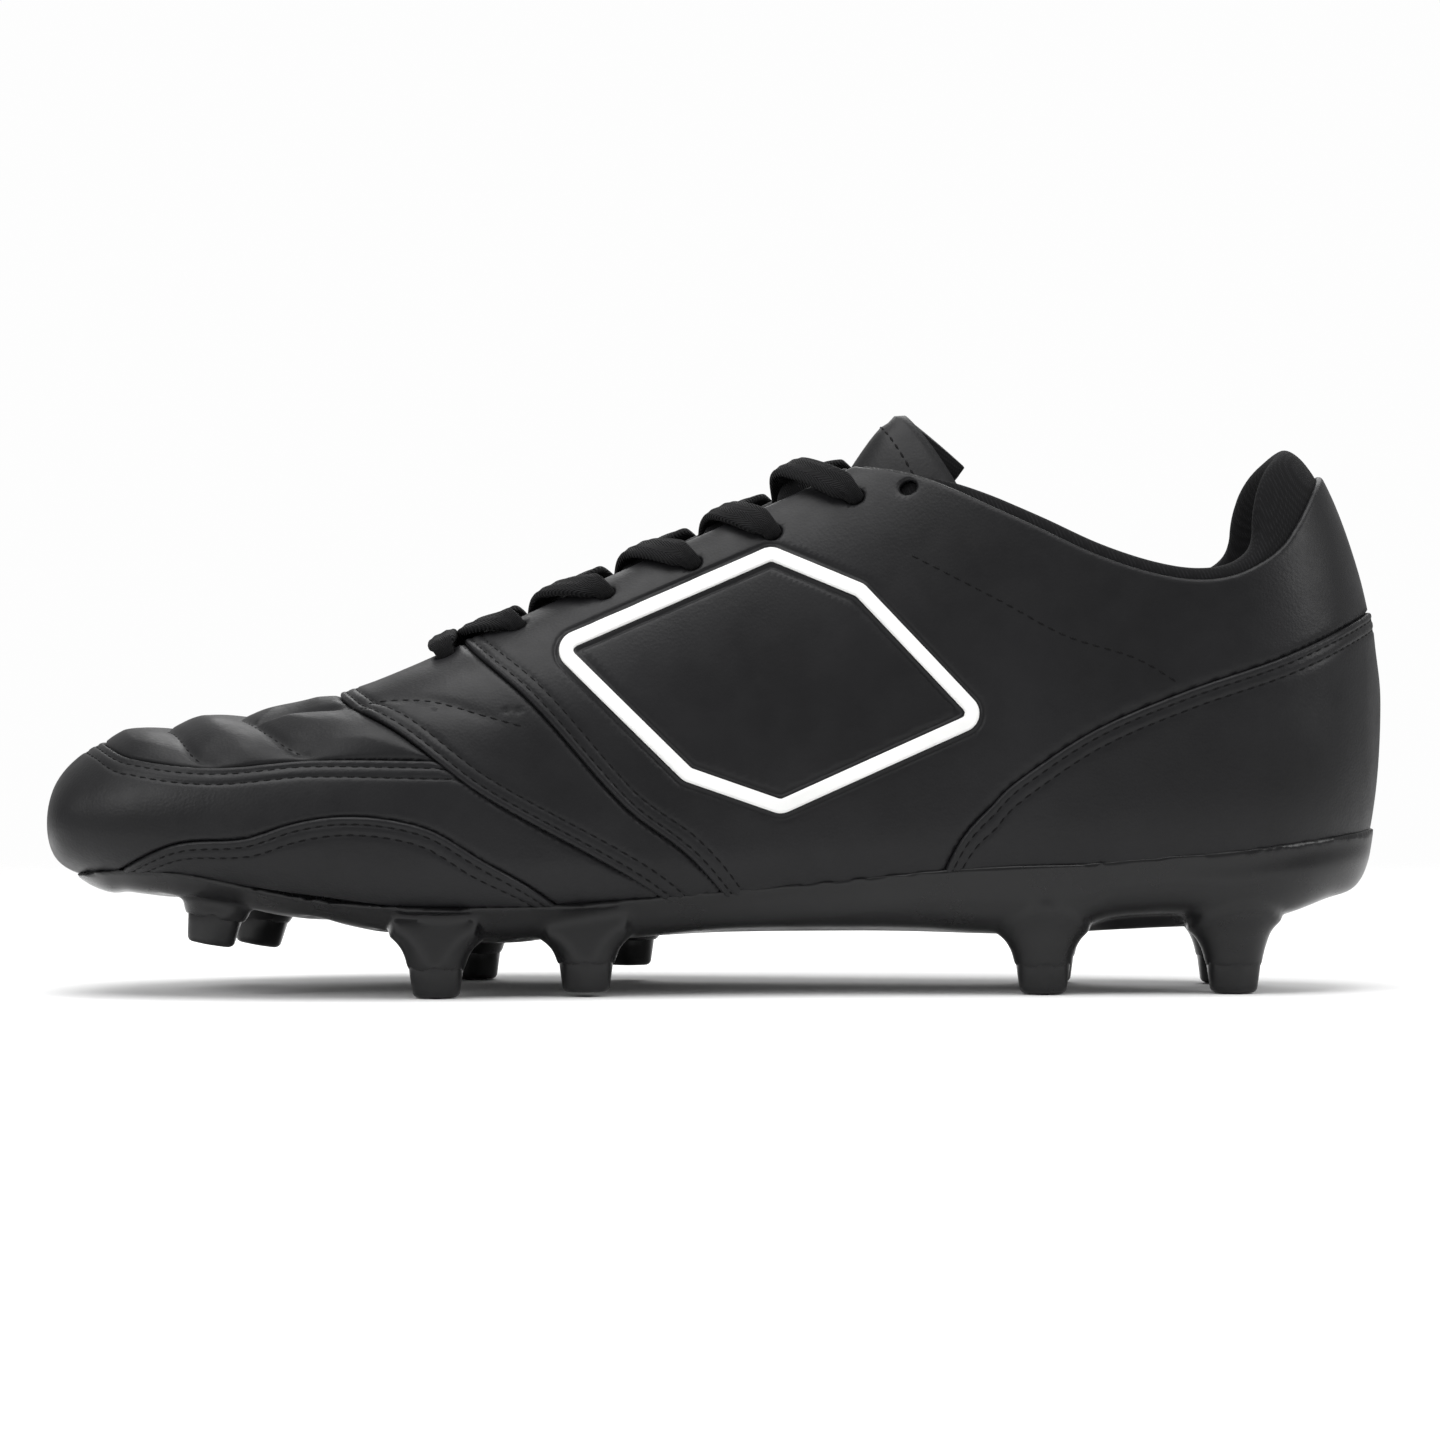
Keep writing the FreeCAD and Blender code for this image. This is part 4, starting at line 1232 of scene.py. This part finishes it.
def post_shape(foot, axis, flare):
    """A post: it flares where it meets the plate's underside, and stays within the plate's side wall."""
    ups, radii = zip(*POST_PROFILE)
    rings = [(float(up), float(np.interp(up, ups, radii))) for up in np.arange(ups[0], ups[-1], 0.7)]
    vertices, faces = lathe([(ups[0], 0.0)] + rings + [(ups[-1], radii[-1]), (ups[-1], 0.0)], foot, axis, 64)
    post = np.array(vertices)
    centre = foot + np.outer((post - foot) @ axis, axis)
    spread = post - centre
    gap = np.maximum(underside(post[:, 0], post[:, 1], PLATE_SQUARENESS, PLATE_BASE) - post[:, 2], 0)
    radius = np.linalg.norm(spread, axis=1, keepdims=True)
    post = post + np.where(radius > 1, spread / np.maximum(radius, 1), 0) * (
        flare * np.exp(-gap / FLARE_HEIGHT))[:, None]
    edge_z = smooth(*zip(*PLATE_EDGE), post[:, 0])
    height = np.clip(post[:, 2], edge_z - 5.0, edge_z)
    merged = unit((post[:, 2] - edge_z + 3.0) / 2.0)
    for side in (-1, 1):
        wall = side * wall_at(post[:, 0], height, side) - POST_INSET
        limit = wall + (1 - merged) * np.maximum(side * foot[1] + POST_SPREAD - wall, 0)
        post[:, 1] = side * np.minimum(side * post[:, 1], limit)
    # Inside the shoe a post goes no higher than the plate; at the edge it runs up into the side wall.
    power = 1 - BELOW_SQUARENESS * fullness(share_at(post[:, 0]))
    floor = underside(post[:, 0], post[:, 1], power, 0.0) - FLOOR_GAP
    post[:, 2] = np.minimum(post[:, 2], np.minimum(floor, edge_z - 1.0))
    return post, faces


def make_plate():
    """The moulded plate: a shallow tray round the upper, with a post for each stud, in one flowing form."""
    bm = share_turn_grid(*patch((TOE_END, HEEL_END), (-math.pi - 0.5, 0.5), 1.1))
    cut(bm, below(PLATE_EDGE), 0.0, clear=True)
    cut_at(bm, lambda s, t: form(s, t)[..., 0] - PLATE_FRONT, 0.0, clear=True)
    share, turn = welded_places(bm)
    outer = plate_surface(share, turn)
    x, y = outer[:, 0], outer[:, 1]
    under = unit(-np.sin(turn) * 2 - 0.6)
    outer[:, 2] += under * sole_relief(x, y)
    inner = form(share, turn, PLATE_INSIDE)
    vertices, faces = list(outer) + list(inner), sheet_faces(bm)
    bm.free()
    for name in STUD_NAMES:
        foot, axis = stud_frame(name)
        post, post_faces = post_shape(foot, axis, POST_FLARE * (0.3 if "toe" in name else 1.0))
        start = len(vertices)
        vertices += list(post)
        faces += [[i + start for i in f] for f in post_faces]
    piece = new_piece("moulded_plate", vertices, faces, PLASTIC)
    fix_normals(piece)
    remesh = piece.modifiers.new("melt", "REMESH")
    remesh.mode = "VOXEL"
    remesh.voxel_size = VOXEL * MM
    remesh.use_smooth_shade = True
    soften = piece.modifiers.new("soften", "SMOOTH")
    soften.factor = 0.5
    soften.iterations = 4
    apply_modifiers(piece)
    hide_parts("outsole_plate")


def apply_modifiers(piece):
    view = bpy.context.evaluated_depsgraph_get()
    mesh = bpy.data.meshes.new_from_object(piece.evaluated_get(view))
    piece.modifiers.clear()
    old = piece.data
    piece.data = mesh
    bpy.data.meshes.remove(old)


def sole_relief(x, y):
    """Up and down shape of the underside: a shank along the arch and shallow ribs across the forefoot."""
    arch = hump(x - 22.0, 34.0, 4)
    shank = arch * hump(y, 11.0, 4)
    forefoot = unit((-x - 20.0) / 12.0) * unit((x + 126.0) / 14.0)
    wave = 0.5 + 0.5 * np.cos((x + 0.35 * np.abs(y)) * 2 * math.pi / 15.0)
    ribs = forefoot * unit((30.0 - np.abs(y)) / 6.0) * wave ** 3
    heel = unit((x - 66.0) / 8.0) * unit((128.0 - x) / 8.0)
    hollow = heel * hump(y, 9.0, 4) * 1.2
    scoop = hump(x - 92.0, 13.0, 4) * unit((np.abs(y) - 12.0) / 5.0) * 2.8
    toe_nub = hump(x + 130.5, 4.5, 4) * hump(y + 9.0, 22.0, 4)
    return 1.1 * ribs + 1.5 * arch - 0.9 * shank + hollow + scoop - 1.0 * toe_nub


def make_stud_tips():
    for name in STUD_NAMES:
        foot, axis = stud_frame(name)
        vertices, faces = lathe(TIP_PROFILE, foot, axis, 72, flats=0.045)
        piece = new_piece(name.replace("stud_tip", "stud_cap"), vertices, faces, STUD_PLASTIC)
        fix_normals(piece)
        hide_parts(name)


# ===== Raised outline on each quarter =====
EMBLEM_OUTLINE = [(-31, 73), (12, 93), (31, 85), (54, 59), (14, 40), (-6, 47)]
EMBLEM_WIDTH = 3.0
EMBLEM_ROUNDING = 2.5
EMBLEM_HEIGHT = 0.62
EMBLEM_THICKNESS = 0.75


def outline_distance(px, pz, corners, rounding):
    """Signed distance from a polygon with rounded corners, negative inside."""
    corners = np.array(corners, float)
    centre = corners.mean(axis=0)
    inset = corners + normalized(centre - corners) * rounding
    best = np.full(np.shape(px), 1e9)
    inside = np.zeros(np.shape(px), bool)
    for a, b in zip(inset, np.roll(inset, -1, axis=0)):
        edge = b - a
        along = unit(((px - a[0]) * edge[0] + (pz - a[1]) * edge[1]) / np.dot(edge, edge))
        best = np.minimum(best, np.hypot(px - a[0] - along * edge[0], pz - a[1] - along * edge[1]))
        edge_x = (b[0] - a[0]) * (pz - a[1]) / (b[1] - a[1] + 1e-9) + a[0]
        inside ^= ((a[1] > pz) != (b[1] > pz)) & (px < edge_x)
    return np.where(inside, -best, best) - rounding


def emblem_field(share, turn):
    p = form(share, turn)
    return EMBLEM_WIDTH / 2 - np.abs(outline_distance(p[..., 0], p[..., 2], EMBLEM_OUTLINE, EMBLEM_ROUNDING))


def make_emblems():
    for side, turns in both_sides(0.35, 0.1):
        bm = share_turn_grid(*patch(between(-34.0, 58.0), turns, 0.6))
        cut_at(bm, emblem_field, 0.0, clear=True)
        cut_at(bm, emblem_field, 0.3)
        cut_at(bm, emblem_field, 0.7)

        def height(share, turn):
            return EMBLEM_HEIGHT - round_edge(emblem_field(share, turn), 0.7, 0.45)
        vertices, faces = closed_sheet(bm, height, EMBLEM_THICKNESS)
        bm.free()
        piece = new_piece("emblem_outline_" + side, vertices, faces, WHITE_FILM)
        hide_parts("emblem_" + side)


# ===== CAD pieces that keep their shape =====
def finish_cad_nodes():
    foam = textile("grey_foam", (0.05, 0.05, 0.05), (0.11, 0.11, 0.11), 0.8)
    board = textile("fibre_board", (0.2, 0.18, 0.15), (0.32, 0.29, 0.25), 1.4)
    finishes = {"sockliner_cover": SOCK_CLOTH, "sockliner_foam": foam, "vamp_foam": foam, "toe_puff": board,
                "heel_counter": board, "strobel_board": board, "quarter_backing_medial": foam,
                "quarter_backing_lateral": foam}
    for name, material in finishes.items():
        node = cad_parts[name]
        if node.material_slots:
            node.material_slots[0].material = material
        else:
            node.data.materials.append(material)


# ===== Floor, light and camera =====
def make_stage():
    """A white floor that fades into a white surround, so that no horizon shows."""
    m = Nodes("pale_floor")
    material = m.finish(Base_Color=(0.93, 0.93, 0.93, 1), Roughness=0.9, Specular_IOR_Level=0.1)
    away = m.add("ShaderNodeVectorMath", Vector=m.where)
    away.operation = "LENGTH"
    fade = m.add("ShaderNodeMapRange", Value=away.outputs["Value"], From_Min=0.25, From_Max=0.9)
    mix = m.add("ShaderNodeMixShader", Fac=fade.outputs["Result"])
    m.put(mix.inputs[1], m.shader.outputs["BSDF"])
    m.put(mix.inputs[2], m.add("ShaderNodeBsdfTransparent").outputs["BSDF"])
    m.put(m.tree.nodes["Material Output"].inputs["Surface"], mix.outputs["Shader"])
    bpy.ops.mesh.primitive_plane_add(size=3.0, location=(0, 0, -0.0002))
    floor = bpy.context.object
    floor.name = "floor"
    floor.data.materials.append(material)

    world = bpy.data.worlds.new("studio")
    bpy.context.scene.world = world
    world.use_nodes = True
    tree = world.node_tree
    seen = tree.nodes["Background"]
    seen.inputs["Color"].default_value = (1, 1, 1, 1)
    seen.inputs["Strength"].default_value = 0.985
    lights_by = tree.nodes.new("ShaderNodeBackground")
    lights_by.inputs["Strength"].default_value = ROOM_LIGHT
    choose = tree.nodes.new("ShaderNodeMixShader")
    ray = tree.nodes.new("ShaderNodeLightPath")
    tree.links.new(ray.outputs["Is Camera Ray"], choose.inputs[0])
    tree.links.new(lights_by.outputs["Background"], choose.inputs[1])
    tree.links.new(seen.outputs["Background"], choose.inputs[2])
    tree.links.new(choose.outputs["Shader"], tree.nodes["World Output"].inputs["Surface"])
    bpy.context.scene.view_settings.view_transform = "Standard"


def area_light(name, place, target, size, power):
    data = bpy.data.lights.new(name, "AREA")
    data.shape = "RECTANGLE"
    data.size, data.size_y = size
    data.energy = power
    lamp = bpy.data.objects.new(name, data)
    lamp.location = place
    lamp.rotation_euler = (Vector(target) - Vector(place)).to_track_quat("-Z", "Y").to_euler()
    bpy.context.scene.collection.objects.link(lamp)


ROOM_LIGHT = 0.55
CAMERA_AWAY = 955.0
CAMERA_HEIGHT = 58.0
CAMERA_ALONG = 1.2
CAMERA_LENS = 110.0


def make_camera_and_lights():
    data = bpy.data.cameras.new("camera")
    data.lens = CAMERA_LENS
    data.sensor_width = 36.0
    camera = bpy.data.objects.new("camera", data)
    camera.location = (CAMERA_ALONG * MM, -CAMERA_AWAY * MM, CAMERA_HEIGHT * MM)
    camera.rotation_euler = (math.pi / 2, 0, 0)
    bpy.context.scene.collection.objects.link(camera)
    bpy.context.scene.camera = camera
    area_light("over", (-0.1, -0.15, 1.0), (0, 0, 0.05), (1.0, 0.9), 11.0)
    area_light("toe_side", (-0.85, -0.55, 0.6), (-0.1, 0, 0.05), (0.5, 0.5), 4.5)
    area_light("heel_side", (0.9, -0.3, 0.55), (0.1, 0, 0.08), (0.4, 0.6), 4.0)
    area_light("behind", (0.1, 0.8, 0.7), (0.02, 0, 0.08), (0.8, 0.4), 3.0)


make_camera_and_lights()
make_lace()
make_upper()
make_emblems()
make_lining()
make_collar()
make_tongue()
make_plate()
make_stud_tips()
finish_cad_nodes()
make_stage()
